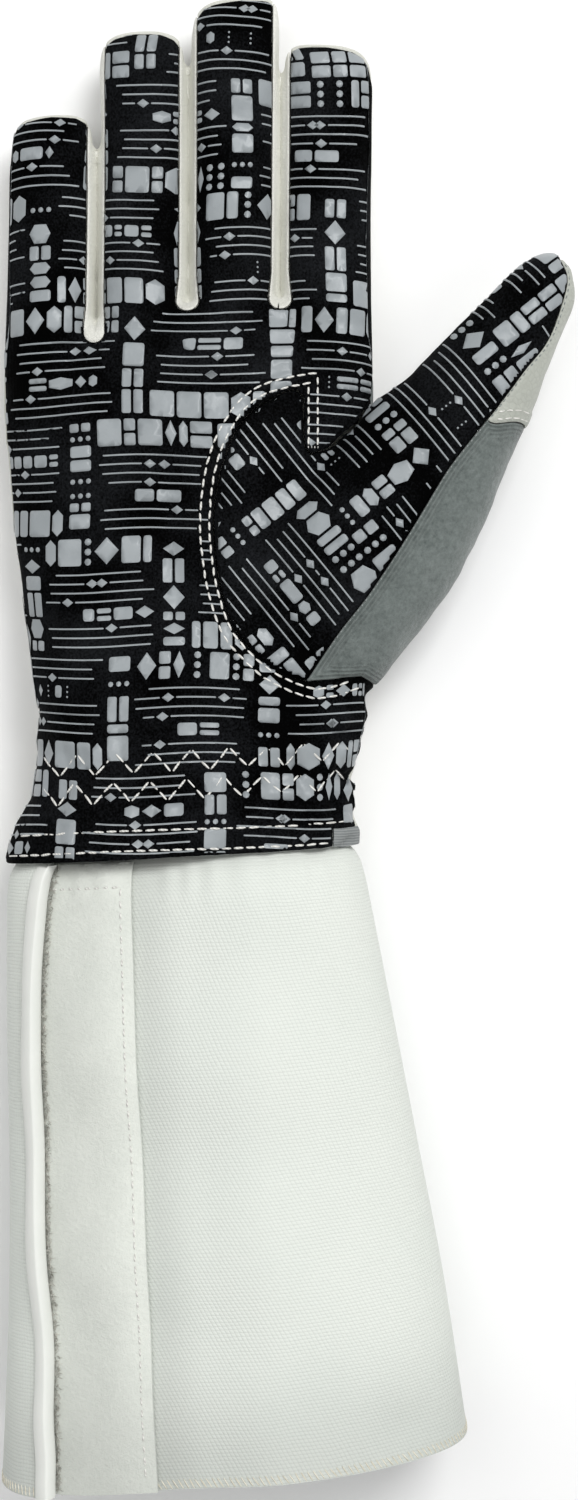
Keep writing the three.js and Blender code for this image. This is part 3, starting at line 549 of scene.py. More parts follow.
def patch_of(skin, name, keep, drop=()):
    """The part of the skin inside some blocks and outside others, as an open patch."""
    piece = copy_of(skin, name)
    for cutter in keep:
        cut(piece, cutter, "INTERSECT")
    for cutter in drop:
        cut(piece, cutter, "DIFFERENCE")
    mesh = bmesh.new()
    mesh.from_mesh(piece.data)
    layer = mesh.faces.layers.int["skin"]
    bmesh.ops.delete(mesh, geom=[face for face in mesh.faces if face[layer] != 1], context="FACES")
    bmesh.ops.remove_doubles(mesh, verts=mesh.verts, dist=0.00012)
    bmesh.ops.dissolve_degenerate(mesh, edges=mesh.edges, dist=0.00002)
    drop_crumbs(mesh)
    mesh.to_mesh(piece.data)
    mesh.free()
    return piece


LEAST_FACES = 150


def drop_crumbs(mesh):
    """Removes loose bits with few faces."""
    seen, crumbs = set(), []
    for start in mesh.faces:
        if start in seen:
            continue
        island, front = {start}, [start]
        while front:
            face = front.pop()
            for edge in face.edges:
                for other in edge.link_faces:
                    if other not in island:
                        island.add(other)
                        front.append(other)
        seen |= island
        if len(island) < LEAST_FACES:
            crumbs += island
    bmesh.ops.delete(mesh, geom=crumbs, context="FACES")
    loose = [vert for vert in mesh.verts if not vert.link_faces]
    bmesh.ops.delete(mesh, geom=loose, context="VERTS")


def edge_points(obj):
    """Points on the open edges of a patch."""
    mesh = bmesh.new()
    mesh.from_mesh(obj.data)
    picked = sorted({vert.index for edge in mesh.edges if edge.is_boundary for vert in edge.verts})
    mesh.free()
    return points_of(obj)[picked]


def distance_to(points, targets):
    tree = KDTree(len(targets))
    for i, target in enumerate(targets):
        tree.insert(target, i)
    tree.balance()
    return np.array([tree.find(point)[2] for point in points])


def near_line(points, line, reach):
    """Which points lie within reach of a line seen from above."""
    gap = np.min(np.hypot(points[:, None, 0] - line[None, :, 0], points[:, None, 1] - line[None, :, 1]), 1)
    return gap < reach


def shape_edge(piece, roll, width, laps=()):
    """Turns a patch's edges under, and raises or sinks a band along some of them."""
    points = points_of(piece)
    edges = edge_points(piece)
    away = distance_to(points, edges)
    lift = -roll * (1 - np.sqrt(np.clip(1 - (1 - np.clip(away / width, 0, 1)) ** 2, 0, 1)))
    for line, height, reach, fade in laps:
        chosen = edges[near_line(edges, line, 1.2)]
        if len(chosen):
            apart = distance_to(points, chosen)
            lift += height * smooth((reach + fade - apart) / fade)
    put_points(piece, points + normals_of(piece) * lift[:, None])
    store = piece.data.attributes.new("edge_gap", "FLOAT", "POINT")
    store.data.foreach_set("value", away.astype(np.float32))


def thicken(piece):
    """Gives a patch its thickness, inwards."""
    finish_with(piece, "SOLIDIFY", thickness=HAND_WALL * MM, offset=-1, use_even_offset=False)
    soften(piece, 50)


def soften(piece, degrees):
    only(piece)
    bpy.ops.object.shade_smooth_by_angle(angle=math.radians(degrees))


# The hand, from its skin to its panels.

skin = hand_skin()
hem_cutter = block("hem_cutter", [(-90, hem_line(-90)), (120, hem_line(120)), (120, 300), (-90, 300)])
cut(skin, hem_cutter, "INTERSECT")

ball = rounded(across_palm(BALL_EDGE), (3, 5))
seam = curve([thumb_point(along, out) for along, out in THUMB_SEAM], 6)
crotch = [thumb_point(1.3, -1.2), thumb_point(0.75, -1.2), thumb_point(0.5, -0.47)]
wrist_side = [thumb_point(0.02, 1.04), thumb_point(0.1, 2.2)]
beyond = thumb_point(1.3, 2.2)
front_outline = np.concatenate([ball, seam, [thumb_point(1.1, -0.3), thumb_point(1.2, -0.8)], crotch])
whole_outline = np.concatenate([ball, seam[:1], wrist_side, [beyond], crotch])
back_outline = np.concatenate([
    curve(across_palm(BACK_EDGE), 5), seam[:1], wrist_side,
    [beyond, thumb_point(1.3, -1.2), thumb_point(0.75, -1.2), thumb_point(0.485, -0.43)],
])
cap_line = curve([thumb_point(along, out) for along, out in CAP_EDGE], 8)
cap_outline = np.concatenate([cap_line, [thumb_point(1.3, -1.2), thumb_point(1.3, 1.6), thumb_point(0.8, 1.6)]])
# Half of the gap that a seam leaves between two panels.
HALF_SEAM = 0.12

upper = sky_block("upper_side", SIDE_SEAM, HAND_LENGTH, "x", HALF_SEAM)
upper_wide = sky_block("upper_side_wide", SIDE_SEAM, HAND_LENGTH, "x", -HALF_SEAM)
thumb_upper = sky_block("thumb_upper_side", THUMB_SIDE_SEAM, PALM_WIDTH, "y", HALF_SEAM)
thumb_upper_wide = sky_block("thumb_upper_side_wide", THUMB_SIDE_SEAM, PALM_WIDTH, "y", -HALF_SEAM)


def front_cutter(name, grow):
    """The palm and the four finger fronts in one block."""
    reach = 0.95 * HAND_LENGTH
    made = block(name, [(-PALM_WIDTH, -60), (PALM_WIDTH, -60), (PALM_WIDTH, reach), (-PALM_WIDTH, reach)])
    for finger in FINGERS:
        part = block("finger_front_cutter", widened(finger_front(finger), grow))
        cut(made, part, "UNION")
        remove(part)
    return made


fronts = front_cutter("front_cutter", -HALF_SEAM)
fronts_wide = front_cutter("front_cutter_wide", HALF_SEAM)
names = list(FINGERS)
strips = [fourchette_outline(FINGERS[a], FINGERS[b]) for a, b in zip(names, names[1:])]
strip_wide = []
for i, outline in enumerate(strips):
    strip_wide.append(block("strip_cutter_wide_%d" % i, widened(outline, HALF_SEAM)))
whole_wide = block("thumb_cutter_wide", widened(whole_outline, HALF_SEAM))
front_block = block("thumb_front_cutter", widened(front_outline, -HALF_SEAM))
front_wide = block("thumb_front_cutter_wide", widened(front_outline, HALF_SEAM))
cut(front_block, thumb_upper, "INTERSECT")
cut(front_wide, thumb_upper_wide, "INTERSECT")
back_block = block("thumb_back_cutter", widened(back_outline, -HALF_SEAM))
back_wide = block("thumb_back_cutter_wide", widened(back_outline, HALF_SEAM))
cap_block = block("cap_cutter", widened(cap_outline, -HALF_SEAM))
cap_wide = block("cap_cutter_wide", widened(cap_outline, HALF_SEAM))
palm_side_cutter = copy_of(upper_wide, "palm_side_cutter")
cut(palm_side_cutter, fronts_wide, "INTERSECT")
hem_row = PALM_ROWS[1]
tab_in = (hem_row[1] + hem_row[2]) * PALM_WIDTH - 7
tab_corners = ((tab_in, -10), (90, -10), (90, 5), (tab_in, 5))
tab_outline = np.array([(x, hem_line(x) + rise) for x, rise in tab_corners])
tab_block = block("tab_cutter", widened(tab_outline, -HALF_SEAM))
tab_wide = block("tab_cutter_wide", widened(tab_outline, HALF_SEAM))
cut(tab_block, upper_wide, "INTERSECT")
cut(tab_wide, upper_wide, "INTERSECT")

palm = patch_of(skin, "palm_knit", [upper, fronts], [whole_wide, *strip_wide, tab_wide])
thumb_front = patch_of(skin, "thumb_front_knit", [front_block])
thumb_back = patch_of(skin, "thumb_back_suede", [back_block], [front_wide, cap_wide])
thumb_cap = patch_of(skin, "thumb_cap_leather", [cap_block], [front_wide])
back = patch_of(skin, "hand_back_leather", [], [palm_side_cutter, back_wide, front_wide, *strip_wide])
tab = patch_of(skin, "hem_tab_woven", [tab_block])
fourchettes = []
for name, outline in zip(("little_ring", "ring_middle", "middle_index"), strips):
    inner = block("strip_cutter", widened(outline, -HALF_SEAM))
    fourchettes.append(patch_of(skin, "fourchette_leather_" + name, [inner]))
    remove(inner)
remove(skin, hem_cutter, upper, upper_wide, thumb_upper, thumb_upper_wide, fronts, fronts_wide, *strip_wide,
       whole_wide, front_block, front_wide, back_block, back_wide, cap_block, cap_wide, palm_side_cutter,
       tab_block, tab_wide)

shape_edge(palm, 0.45, 0.8, [(ball, 0.5, 3.9, 1.1)])
shape_edge(thumb_front, 0.4, 0.8, [(ball, -0.55, 0.6, 2.6)])
shape_edge(thumb_back, 0.45, 0.9, [(seam, 0.15, 1.2, 2.0)])
shape_edge(thumb_cap, 0.4, 0.8, [(cap_line, 0.35, 3.4, 1.0)])
shape_edge(back, 0.4, 0.8)
shape_edge(tab, 0.2, 0.5)
for piece, a, b in zip(fourchettes, names, names[1:]):
    mesh = bmesh.new()
    mesh.from_mesh(piece.data)
    bmesh.ops.subdivide_edges(mesh, edges=mesh.edges, cuts=1, use_grid_fill=True)
    mesh.to_mesh(piece.data)
    mesh.free()
    shape_edge(piece, 0.3, 0.6)
    points = points_of(piece)
    place = (FINGERS[a][0] + FINGERS[b][0]) / 2 * PALM_WIDTH
    web = FINGERS[a][5] * HAND_LENGTH
    points[:, 2] -= 1.7 * np.exp(-((points[:, 0] - place) / 0.5) ** 2) * smooth((points[:, 1] - web - 2) / 5)
    put_points(piece, points)
    finish_with(piece, "DECIMATE", ratio=0.35)
finish_with(back, "DECIMATE", ratio=0.45)

# The cuff.

def cuff_outline(along):
    """Centre, turn, face outline and seam places of the cuff at a share of its length below the hem."""
    hem_at = max(0.0, -along * CUFF_LENGTH / HAND_LENGTH)
    hem = lambda n: float(column(PALM_ROWS, n, hem_at))
    at = lambda n: float(column(CUFF_ROWS, n, max(along, 0)))
    sunk = 1.0 if along < 0 else float(column(FLARE_START, 1, along))
    sunk *= HAND_WALL + HEM_CLEARANCE
    hem_half, hem_high = hem(2) * PALM_WIDTH, hem(4) * HAND_HEIGHT
    half = hem_half + (MOUTH_WIDTH / 2 - hem_half) * at(2)
    high = hem_high + (MOUTH_HEIGHT - hem_high) * at(2)
    turn = math.radians(hem(5) if along < 0 else at(5))
    side, up = cushion(half, hem(3) * HAND_HEIGHT, high, 720, inset=sunk)
    centre = (hem(1) * PALM_WIDTH + MOUTH_SHIFT * at(1), -along * CUFF_LENGTH)
    return centre, turn, side, up, half - sunk, at(3), at(4)


class CuffPath:
    """Lengths round one section of the cuff, from the flap's free edge over the little-finger side,
    under the back and over the front."""

    def __init__(self, along):
        self.along = along
        self.centre, self.turn, side, up, half, edge, tape = cuff_outline(along)
        side, up = np.append(side, side[0]), np.append(up, up[0])
        self.lengths = np.append(0, np.cumsum(np.hypot(np.diff(side), np.diff(up))))
        self.side, self.up = side, up
        self.round = self.lengths[-1]
        top = slice(0, len(side) // 2)
        on_top = lambda share: np.interp(half * (2 * share - 1), side[top][::-1], self.lengths[top][::-1])
        self.start = on_top(edge)
        self.tape = self.round + on_top(tape) - self.start

    def flat(self, length):
        rest = (np.asarray(length) + self.start) % self.round
        return np.stack([np.interp(rest, self.lengths, self.side), np.interp(rest, self.lengths, self.up)], 1)

    def at(self, length, depth):
        """Points at lengths round the cuff and depths below its face."""
        length = np.atleast_1d(np.asarray(length, float))
        way = self.flat(length + 2) - self.flat(length - 2)
        way /= np.linalg.norm(way, axis=1)[:, None]
        place = self.flat(length) + np.stack([-way[:, 1], way[:, 0]], 1) * np.reshape(depth, (-1, 1))
        side, up = place.T
        x = self.centre[0] + side * math.cos(self.turn)
        y = self.centre[1] + side * math.sin(self.turn)
        return np.stack([x, y, up], 1)


HOOK_DEPTH = CUFF_WALL + LAYER_GAP
LOOP_DEPTH = HOOK_DEPTH + HOOK_THICKNESS + LAYER_GAP
PANEL_DEPTH = LOOP_DEPTH + LOOP_THICKNESS + LAYER_GAP
LAP_SHARE = -HEM_LAP / CUFF_LENGTH
places = np.concatenate([
    np.linspace(LAP_SHARE, 0, 8)[:-1], np.linspace(0, 0.07, 14)[:-1], np.linspace(0.07, 1, 112),
])
paths = [CuffPath(along) for along in places]
below = [path for path in paths if path.along > 0.003]


def wall_depth(length, path):
    return PANEL_DEPTH * smooth((length - (path.tape - STEP_LENGTH)) / (STEP_LENGTH - 1))


def cuff_swell(points):
    """Soft waves of the whole cuff, the same for every layer so that they stay apart."""
    x, y, z = points.T
    top = 45 - y * 0.115
    up = smooth((z / top - 0.62) / 0.3)
    low = smooth(-y / 12)
    lift = 0.75 * wave_noise(points * [0.6, 1.3, 0.6], 60, 11) + 0.22 * wave_noise(points, 22, 12)
    hem = np.exp(-((y + 3) / 7) ** 2) * 0.28 * np.sin(x * 0.9 + 1.3 * np.sin(x * 0.21))
    dent = -1.5 * np.exp(-((x + 38) / 9) ** 2 - ((y + 151) / 7) ** 2)
    dent -= 1.0 * np.exp(-((x - 58) / 8) ** 2 - ((y + 142) / 6) ** 2)
    return up * low * (lift + dent) + up * hem


def strip(name, rows, lengths_of, depth_of, thickness):
    """A wall of the cuff: its outer and its inner face with closed edges, and a flat map of the cloth."""
    outer, inner, cloth, tape_edge_painted_rows = [], [], [], []
    for path in rows:
        lengths = lengths_of(path)
        depth = np.broadcast_to(depth_of(lengths, path), lengths.shape)
        face = path.at(lengths, depth)
        swell = cuff_swell(face)
        outer.append(path.at(lengths, depth - swell))
        inner.append(path.at(lengths, depth - swell + thickness))
        cloth.append(np.stack([lengths * MM, np.full(len(lengths), path.along * CUFF_LENGTH * MM)], 1))
        # Closeness to the loop tape's stitched edge, within 15 mm: the knit darkens there as painted shade and
        # the tape lightens there as painted light.
        tape_edge_painted_rows.append(smooth(1 - np.abs(path.tape - lengths) / 15))
    count = len(outer[0])
    rings = [np.concatenate([a, b[::-1]]) for a, b in zip(outer, inner)]
    uv = np.concatenate([np.concatenate([c, c[::-1]]) for c in cloth])
    faces = tube_faces(len(rings), 2 * count)
    last = (len(rings) - 1) * 2 * count
    for k in range(count - 1):
        a, b, c, d = k, k + 1, 2 * count - 2 - k, 2 * count - 1 - k
        faces += [(d, c, b, a), (last + a, last + b, last + c, last + d)]
    obj = new_mesh(name, np.concatenate(rings), faces, uv)
    # Stored for the painted shade on the knit and the painted light on the loop tape.
    rub = np.concatenate([np.concatenate([c, c[::-1]]) for c in tape_edge_painted_rows])
    store = obj.data.attributes.new("rub", "FLOAT", "POINT")
    store.data.foreach_set("value", rub.astype(np.float32))
    face_out(obj)
    soften(obj, 50)
    return obj


def steps(start, stop, count):
    return np.linspace(start, stop, count + 1)


hook_start = BINDING_WIDTH + 0.3
hook_lengths = lambda path: steps(hook_start, hook_start + HOOK_WIDTH, 24)
loop_lengths = lambda path: steps(path.tape + 0.3, path.round + FLAP_OVERLAP, 72)
wall_lengths = lambda path: np.concatenate([
    steps(0, hook_start + HOOK_WIDTH, 18)[:-1],
    steps(hook_start + HOOK_WIDTH, path.tape - STEP_LENGTH, 150)[:-1],
    steps(path.tape - STEP_LENGTH, path.tape - 1, 36)[:-1],
    steps(path.tape - 1, path.round + FLAP_OVERLAP + LOOP_THICKNESS, 56),
])
cuff = strip("cuff_knit", paths, wall_lengths, wall_depth, CUFF_WALL)
loop_tape = strip("loop_tape_pile", below, loop_lengths, lambda length, path: LOOP_DEPTH, LOOP_THICKNESS)
hook_tape = strip("hook_tape_woven", below, hook_lengths, lambda length, path: HOOK_DEPTH, HOOK_THICKNESS)


def bound_edge():
    """The binding folded over the flap's free edge, as a soft U."""
    gap, thick, back = 0.3, BINDING_THICKNESS, CUFF_WALL + 0.3
    far = BINDING_WIDTH - thick - gap
    turn = np.linspace(-np.pi / 2, np.pi / 2, 13)
    middle, reach = (back - gap) / 2, (back + gap) / 2 + thick
    outer = [(far, -gap - thick * 0.55), (far - 0.5, -gap - thick)]
    outer += [(-gap - 0.2 - thick * math.cos(t), middle + reach * math.sin(t)) for t in turn]
    outer += [(far - 0.5, back + thick), (far, back + thick * 0.55)]
    inner = [(far, -gap), (far * 0.5, -gap), (-gap, -gap + 0.2)]
    inner += [(-gap, back - 0.2), (far * 0.5, back), (far, back)]
    loop = np.array(outer + inner[::-1])
    rings = []
    for path in below:
        y = path.along * CUFF_LENGTH
        wave = 0.2 * math.sin(y / 11) + 0.12 * math.sin(y / 4.3 + 1)
        swell = cuff_swell(path.at([0.0], 0.0))[0]
        face = path.at(loop[:, 0] * (1 + 0.05 * math.sin(y / 7)) + wave * 0.3, loop[:, 1] - swell)
        rings.append(face)
    obj = new_mesh("flap_binding", np.concatenate(rings), tube_faces(len(rings), len(loop)))
    mesh = bmesh.new()
    mesh.from_mesh(obj.data)
    for start in (0, (len(rings) - 1) * len(loop)):
        mesh.verts.ensure_lookup_table()
        bmesh.ops.contextual_create(mesh, geom=[mesh.verts[start + k] for k in range(len(loop))])
    bmesh.ops.triangulate(mesh, faces=[face for face in mesh.faces if len(face.verts) > 4])
    mesh.to_mesh(obj.data)
    mesh.free()
    face_out(obj)
    soften(obj, 50)
    return obj


binding = bound_edge()


# Raised print.

def bar(s, t, wide, tall, corner=0.7, steps_round=3):
    """A bar with round corners, as an outline from its lower left."""
    corner = min(corner, wide / 2 - 0.01, tall / 2 - 0.01)
    points = []
    right, upper = wide - corner, tall - corner
    for cs, ct, first in ((right, corner, -90), (right, upper, 0), (corner, upper, 90), (corner, corner, 180)):
        for k in range(steps_round + 1):
            angle = math.radians(first + 90 * k / steps_round)
            points.append((s + cs + corner * math.cos(angle), t + ct + corner * math.sin(angle)))
    return np.array(points)


PRINT_HEIGHT = 0.24
TILE_GAP = 0.7
PRINT_LINE = 0.42
CELL_WIDE, CELL_TALL = 39.0, 30.5
PRINT_STEP = 2.2


def tile(s, t, wide, tall, kind):
    """One tile of a row: a block, two stacked blocks, a lozenge, a hexagon or three dots."""
    box = lambda *corners: np.array([(s + a * wide, t + b * tall) for a, b in corners])
    if kind == 1:
        part = (tall - TILE_GAP) / 2
        return [bar(s, t, wide, part, 0.5), bar(s, t + part + TILE_GAP, wide, part, 0.5)]
    if kind == 2:
        return [box((0.5, 0), (1, 0.5), (0.5, 1), (0, 0.5))]
    if kind == 3:
        return [box((0.5, 0), (1, 0.22), (1, 0.78), (0.5, 1), (0, 0.78), (0, 0.22))]
    if kind == 4:
        size = min(wide, tall / 3 - 0.5)
        left, rise = s + (wide - size) / 2, (tall - size) / 2
        return [bar(left, t + k * rise, size, size, size / 2, 2) for k in range(3)]
    return [bar(s, t, wide, tall)]


def tile_row(rng, start, stop, tall):
    """A row of tiles along S from its lower edge, in blocks of uneven width."""
    made, s = [], start
    while s < stop - 2:
        wide = min(rng.choice([2.2, 3.0, 3.8, 5.0, 6.4]), stop - s)
        made += tile(s, 0, wide, tall, int(rng.choice([0, 0, 0, 1, 1, 2, 3, 4])))
        s += wide + TILE_GAP
    return made


def print_line(rng, start, stop, t, lozenges):
    """A fine line with a few lozenges strung on it."""
    made = []
    beads = sorted(rng.uniform(start + 4, stop - 4, lozenges))
    runs = [start, *[v for bead in beads for v in (bead - 2.1, bead + 2.1)], stop]
    for p, q in zip(runs[::2], runs[1::2]):
        if q - p > 1.2:
            made.append(bar(p, t, q - p, PRINT_LINE, 0.2, 2))
    for bead in beads:
        middle, half_wide, half_tall = t + PRINT_LINE / 2, 1.6, 1.16
        corners = ((-half_wide, 0), (0, -half_tall), (half_wide, 0), (0, half_tall))
        made.append(np.array([(bead + a, middle + b) for a, b in corners]))
    return made


def lengthened(outline):
    """The outline with extra points along its long edges."""
    points = []
    for a, b in zip(outline, np.roll(outline, -1, 0)):
        count = max(1, int(np.hypot(*(b - a)) / PRINT_STEP))
        points += [a + (b - a) * k / count for k in range(count)]
    return np.array(points)


def print_layout(low, high, seed):
    """Outlines of a print in stepped cells: a tall and a low row of tiles, a post of tiles and fine lines."""
    rng = np.random.default_rng(seed)
    shapes = []
    rows = int((high[1] - low[1]) / CELL_TALL) + 2
    columns = int((high[0] - low[0]) / CELL_WIDE) + 2
    for j in range(rows):
        for i in range(-2, columns):
            s0 = low[0] + i * CELL_WIDE + (0.36 * CELL_WIDE * j) % CELL_WIDE
            t0 = low[1] + j * CELL_TALL
            cell = [p + [0, 22.6] for p in tile_row(rng, 0.4, 30.6, 7.0)]
            cell += [p + [0, 8.0] for p in tile_row(rng, rng.uniform(6, 12), rng.uniform(22, 30), 3.2)]
            post = tile_row(rng, 0.6, 29.6, 5.6)
            cell += [np.stack([32.0 + p[:, 1], p[:, 0]], 1)[::-1] for p in post]
            for k, t in enumerate((20.0, 17.6, 15.2, 12.8, 5.8, 3.4, 1.0)):
                cell += print_line(rng, rng.uniform(0, 4), rng.uniform(26, 30.8), t, (0, 2, 0, 1, 1, 0, 0)[k])
            if (i + j) % 2:
                cell = [np.stack([p[:, 0], CELL_TALL - 0.9 - p[:, 1]], 1)[::-1] for p in cell]
            shapes += [p + [s0, t0] for p in cell]
    return [lengthened(p) for p in shapes]


CLOTH_START = -10.0


class ClothMap:
    """Where a point of the flat palm cloth lies, seen from above: the cloth rolls down at each side."""

    def __init__(self):
        self.palm, self.fingers = [], []
        sections = {name: finger_rows(name) for name in FINGERS}
        for t in np.arange(CLOTH_START, 236.0):
            along = np.clip(t / HAND_LENGTH, -0.06, 0.94)
            ring = palm_ring(along, 360)[:181][::-1]
            centre = float(column(PALM_ROWS, 1, along)) * PALM_WIDTH
            self.palm.append(self.rolled(ring[:, 0], ring[:, 2], centre, centre))
            s_all, x_all = [], []
            for name, rows in sections.items():
                ring = finger_ring(rows, np.clip(t, rows[1][0], rows[-1][0] - 3), 180)[:91][::-1]
                middle = float(column(rows, 1, np.clip(t, rows[1][0], rows[-1][0])))
                s, x = self.rolled(ring[:, 0], ring[:, 2], middle, FINGERS[name][0] * PALM_WIDTH)
                keep = np.abs(s - FINGERS[name][0] * PALM_WIDTH) < 12.2
                s_all.append(s[keep])
                x_all.append(x[keep])
            self.fingers.append((np.concatenate(s_all), np.concatenate(x_all)))

    @staticmethod
    def rolled(x, z, middle, origin):
        run = np.append(0, np.cumsum(np.hypot(np.diff(x), np.diff(z))))
        return run - np.interp(middle, x, run) + origin, x

    def __call__(self, points):
        made = []
        for s, t in points:
            i = int(np.clip(round(t - CLOTH_START), 0, len(self.palm) - 1))
            blend = smooth((t - 128) / 14)
            x = (1 - blend) * np.interp(s, *self.palm[i]) + blend * np.interp(s, *self.fingers[i])
            made.append((x + 0.25 * math.sin(t / 7), t + 0.55 * math.sin(s / 8 + t / 31)))
        return np.array(made)


def raised_print(name, panel, outlines):
    """A thin layer over a panel, kept only where the outlines stamp it."""
    layer = copy_of(panel, name)
    points = points_of(layer)
    gap = np.empty(len(points), np.float32)
    layer.data.attributes["edge_gap"].data.foreach_get("value", gap)
    mesh = bmesh.new()
    mesh.from_mesh(layer.data)
    mesh.verts.ensure_lookup_table()
    bmesh.ops.delete(mesh, geom=[vert for vert, value in zip(mesh.verts, gap) if value < 0.5], context="VERTS")
    drop_crumbs(mesh)
    mesh.to_mesh(layer.data)
    mesh.free()
    finish_with(layer, "DECIMATE", ratio=0.34)
    put_points(layer, points_of(layer) + normals_of(layer) * PRINT_HEIGHT)
    finish_with(layer, "SOLIDIFY", thickness=2 * PRINT_HEIGHT * MM, offset=-1, use_even_offset=False)
    low, high = points.min(0) - 2, points.max(0) + 2
    inside = [p for p in outlines if (low[:2] < p.max(0)).all() and (p.min(0) < high[:2]).all()]
    stamps_points, stamps_faces, offset = [], [], 0
    for outline in inside:
        count = len(outline)
        for z in (low[2], high[2]):
            stamps_points.append(np.column_stack([outline, np.full(count, z)]))
        stamps_faces += [tuple(v + offset for v in face) for face in tube_faces(2, count)]
        lids = (reversed(range(count)), range(count, 2 * count))
        stamps_faces += [tuple(offset + k for k in lid) for lid in lids]
        offset += 2 * count
    stamp = new_mesh(name + "_stamp", np.concatenate(stamps_points), stamps_faces)
    face_out(stamp)
    cut(layer, stamp, "INTERSECT")
    remove(stamp)
    soften(layer, 95)
    return layer


cloth = ClothMap()
palm_outlines = [cloth(p) for p in print_layout((-66, -8), (66, 236), 4)]
palm_print = raised_print("palm_print_silicone", palm, palm_outlines)
lay_turn = math.radians(-51)
lay_way = np.array([[math.cos(lay_turn), math.sin(lay_turn)], [-math.sin(lay_turn), math.cos(lay_turn)]])
ball_middle = thumb_point(0.35, 0.1)
thumb_outlines = [p @ lay_way + ball_middle for p in print_layout((-62, -75), (62, 95), 9)]
thumb_print = raised_print("thumb_print_silicone", thumb_front, thumb_outlines)


# Stitching.

def surface(*objects):
    """Something to find the nearest point of these pieces with, in the maker's frame."""
    points, faces, offset = [], [], 0
    for obj in objects:
        points.append(points_of(obj))
        faces += [tuple(v + offset for v in face.vertices) for face in obj.data.polygons]
        offset += len(points[-1])
    return BVHTree.FromPolygons(np.concatenate(points).tolist(), faces)


def dropped(line, tree, from_below=False):
    """Points and normals where a line seen from above meets a surface."""
    found = []
    for x, y in line:
        start, way = ((x, y, -40), (0, 0, 1)) if from_below else ((x, y, 120), (0, 0, -1))
        point, normal, _, _ = tree.ray_cast(Vector(start), Vector(way))
        if point is not None:
            found.append((np.array(point), np.array(normal)))
    return found


def spaced(line, pitch):
    """Places at even steps along a line."""
    line = np.asarray(line, float)
    run = np.append(0, np.cumsum(np.linalg.norm(np.diff(line, axis=0), axis=1)))
    at = np.arange(0, run[-1], pitch)
    return np.stack([np.interp(at, run, line[:, i]) for i in range(line.shape[1])], 1)


def threads(name, runs, thick, gap, seed, sides=6):
    """Thread stitches, one for each pair of neighbouring points of a run, half sunk in the cloth."""
    rng = np.random.default_rng(seed)
    points, faces = [], []
    profile = [(-0.5, 0.0), (-0.42, 0.62), (-0.2, 1.0), (0.2, 1.0), (0.42, 0.62), (0.5, 0.0)]
    for run in runs:
        for (a, na), (b, nb) in zip(run[:-1], run[1:]):
            way = b - a
            length = np.linalg.norm(way)
            if length < 0.6 or length > 8:
                continue
            way /= length
            normal = na + nb
            normal -= way * (normal @ way)
            normal /= np.linalg.norm(normal)
            side = np.cross(way, normal)
            lean = rng.normal(0, 0.05)
            way_bent = way + side * lean
            reach = length - gap * rng.uniform(0.8, 1.2)
            middle = (a + b) / 2 + normal * thick * 0.18
            start = len(points)
            for share, wide in profile:
                centre = middle + way_bent * share * reach
                if wide == 0:
                    points.append(centre - normal * thick * 0.3)
                    continue
                for k in range(sides):
                    angle = 2 * np.pi * k / sides
                    spoke = side * math.cos(angle) * 0.5 + normal * math.sin(angle) * 0.42
                    points.append(centre + spoke * thick * wide)
            for k in range(sides):
                n = (k + 1) % sides
                faces.append((start, start + 1 + n, start + 1 + k))
                for row in range(3):
                    p = start + 1 + row * sides
                    faces.append((p + k, p + n, p + sides + n, p + sides + k))
                end = start + 1 + 4 * sides
                faces.append((end, end - sides + k, end - sides + n))
    points = np.array(points)
    points[:, 2] = np.maximum(points[:, 2], 0.02)
    obj = new_mesh(name, points, faces)
    face_out(obj)
    only(obj)
    bpy.ops.object.shade_smooth()
    return obj


def beside(line, distance):
    """A line moved to its right."""
    line = np.asarray(line, float)
    way = np.gradient(line, axis=0)
    way /= np.linalg.norm(way, axis=1)[:, None]
    return line + np.stack([way[:, 1], -way[:, 0]], 1) * distance


palm_tree = surface(palm)
back_tree = surface(back)
run = lambda line, tree, pitch, below=False: dropped(spaced(line, pitch), tree, below)

lap_round = curve(LAP_STITCH[1:], 6)
hem_bows = list(zip(np.linspace(-46.5, 43.6, 60), 0.5 * np.sin(np.linspace(0.3, 5.2, 60))))
hem_at = lambda rise: [(x, hem_line(x) + rise + bow) for x, bow in hem_bows]


def zigzag(height, slope, seed):
    """Elastic zigzag stitch across the wrist: two stitches to a leg."""
    rng = np.random.default_rng(seed)
    line, x, up = [], -37.5, True
    while x < 45.5:
        line.append((x, hem_line(x) + height + slope * (x + 37) + (2.7 if up else -2.7) + rng.normal(0, 0.25)))
        x += 4.85 + rng.normal(0, 0.25)
        up = not up
    fine = []
    for a, b in zip(line[:-1], line[1:]):
        fine += [np.array(a) + (np.array(b) - np.array(a)) * k / 2.0 for k in range(2)]
    return fine + [np.array(line[-1])]


lap_rows = [run(lap_round, palm_tree, 3.0), run(beside(lap_round, -2.4)[3:], palm_tree, 3.0)]
for across in (0.0, -2.4):
    lap_rows.append(run([(34.2 + across, 106.7), (34.2 + across, 126.4 + across)], palm_tree, 2.7))
lap_rows.append(run([(31.4, 106.4), (34.6, 106.4)], palm_tree, 0.8))
seam_rows = lap_rows + [
    dropped(zigzag(24.5, 0.0, 1), palm_tree),
    dropped(zigzag(17.0, 0.0, 2), palm_tree),
    run(hem_at(6.8), palm_tree, 3.3),
    run(hem_at(1.7), palm_tree, 3.1),
]
palm_stitches = threads("palm_stitching", seam_rows, 0.62, 0.55, 3)
thumb_seam_stitches = threads("thumb_seam_stitching", [
    run(beside(seam[4:], 0.35), surface(thumb_back, thumb_cap, thumb_front), 1.7),
], 0.32, 0.7, 4)
cap_tree = surface(thumb_cap)
cap_stitches = threads("thumb_cap_stitching", [
    run(beside(cap_line[4:28], distance), cap_tree, 2.3) for distance in (1.0, 2.9)
], 0.42, 0.5, 10)
back_hem = [(x, hem_line(x) + 1.9) for x in np.linspace(-44, 42, 50)]
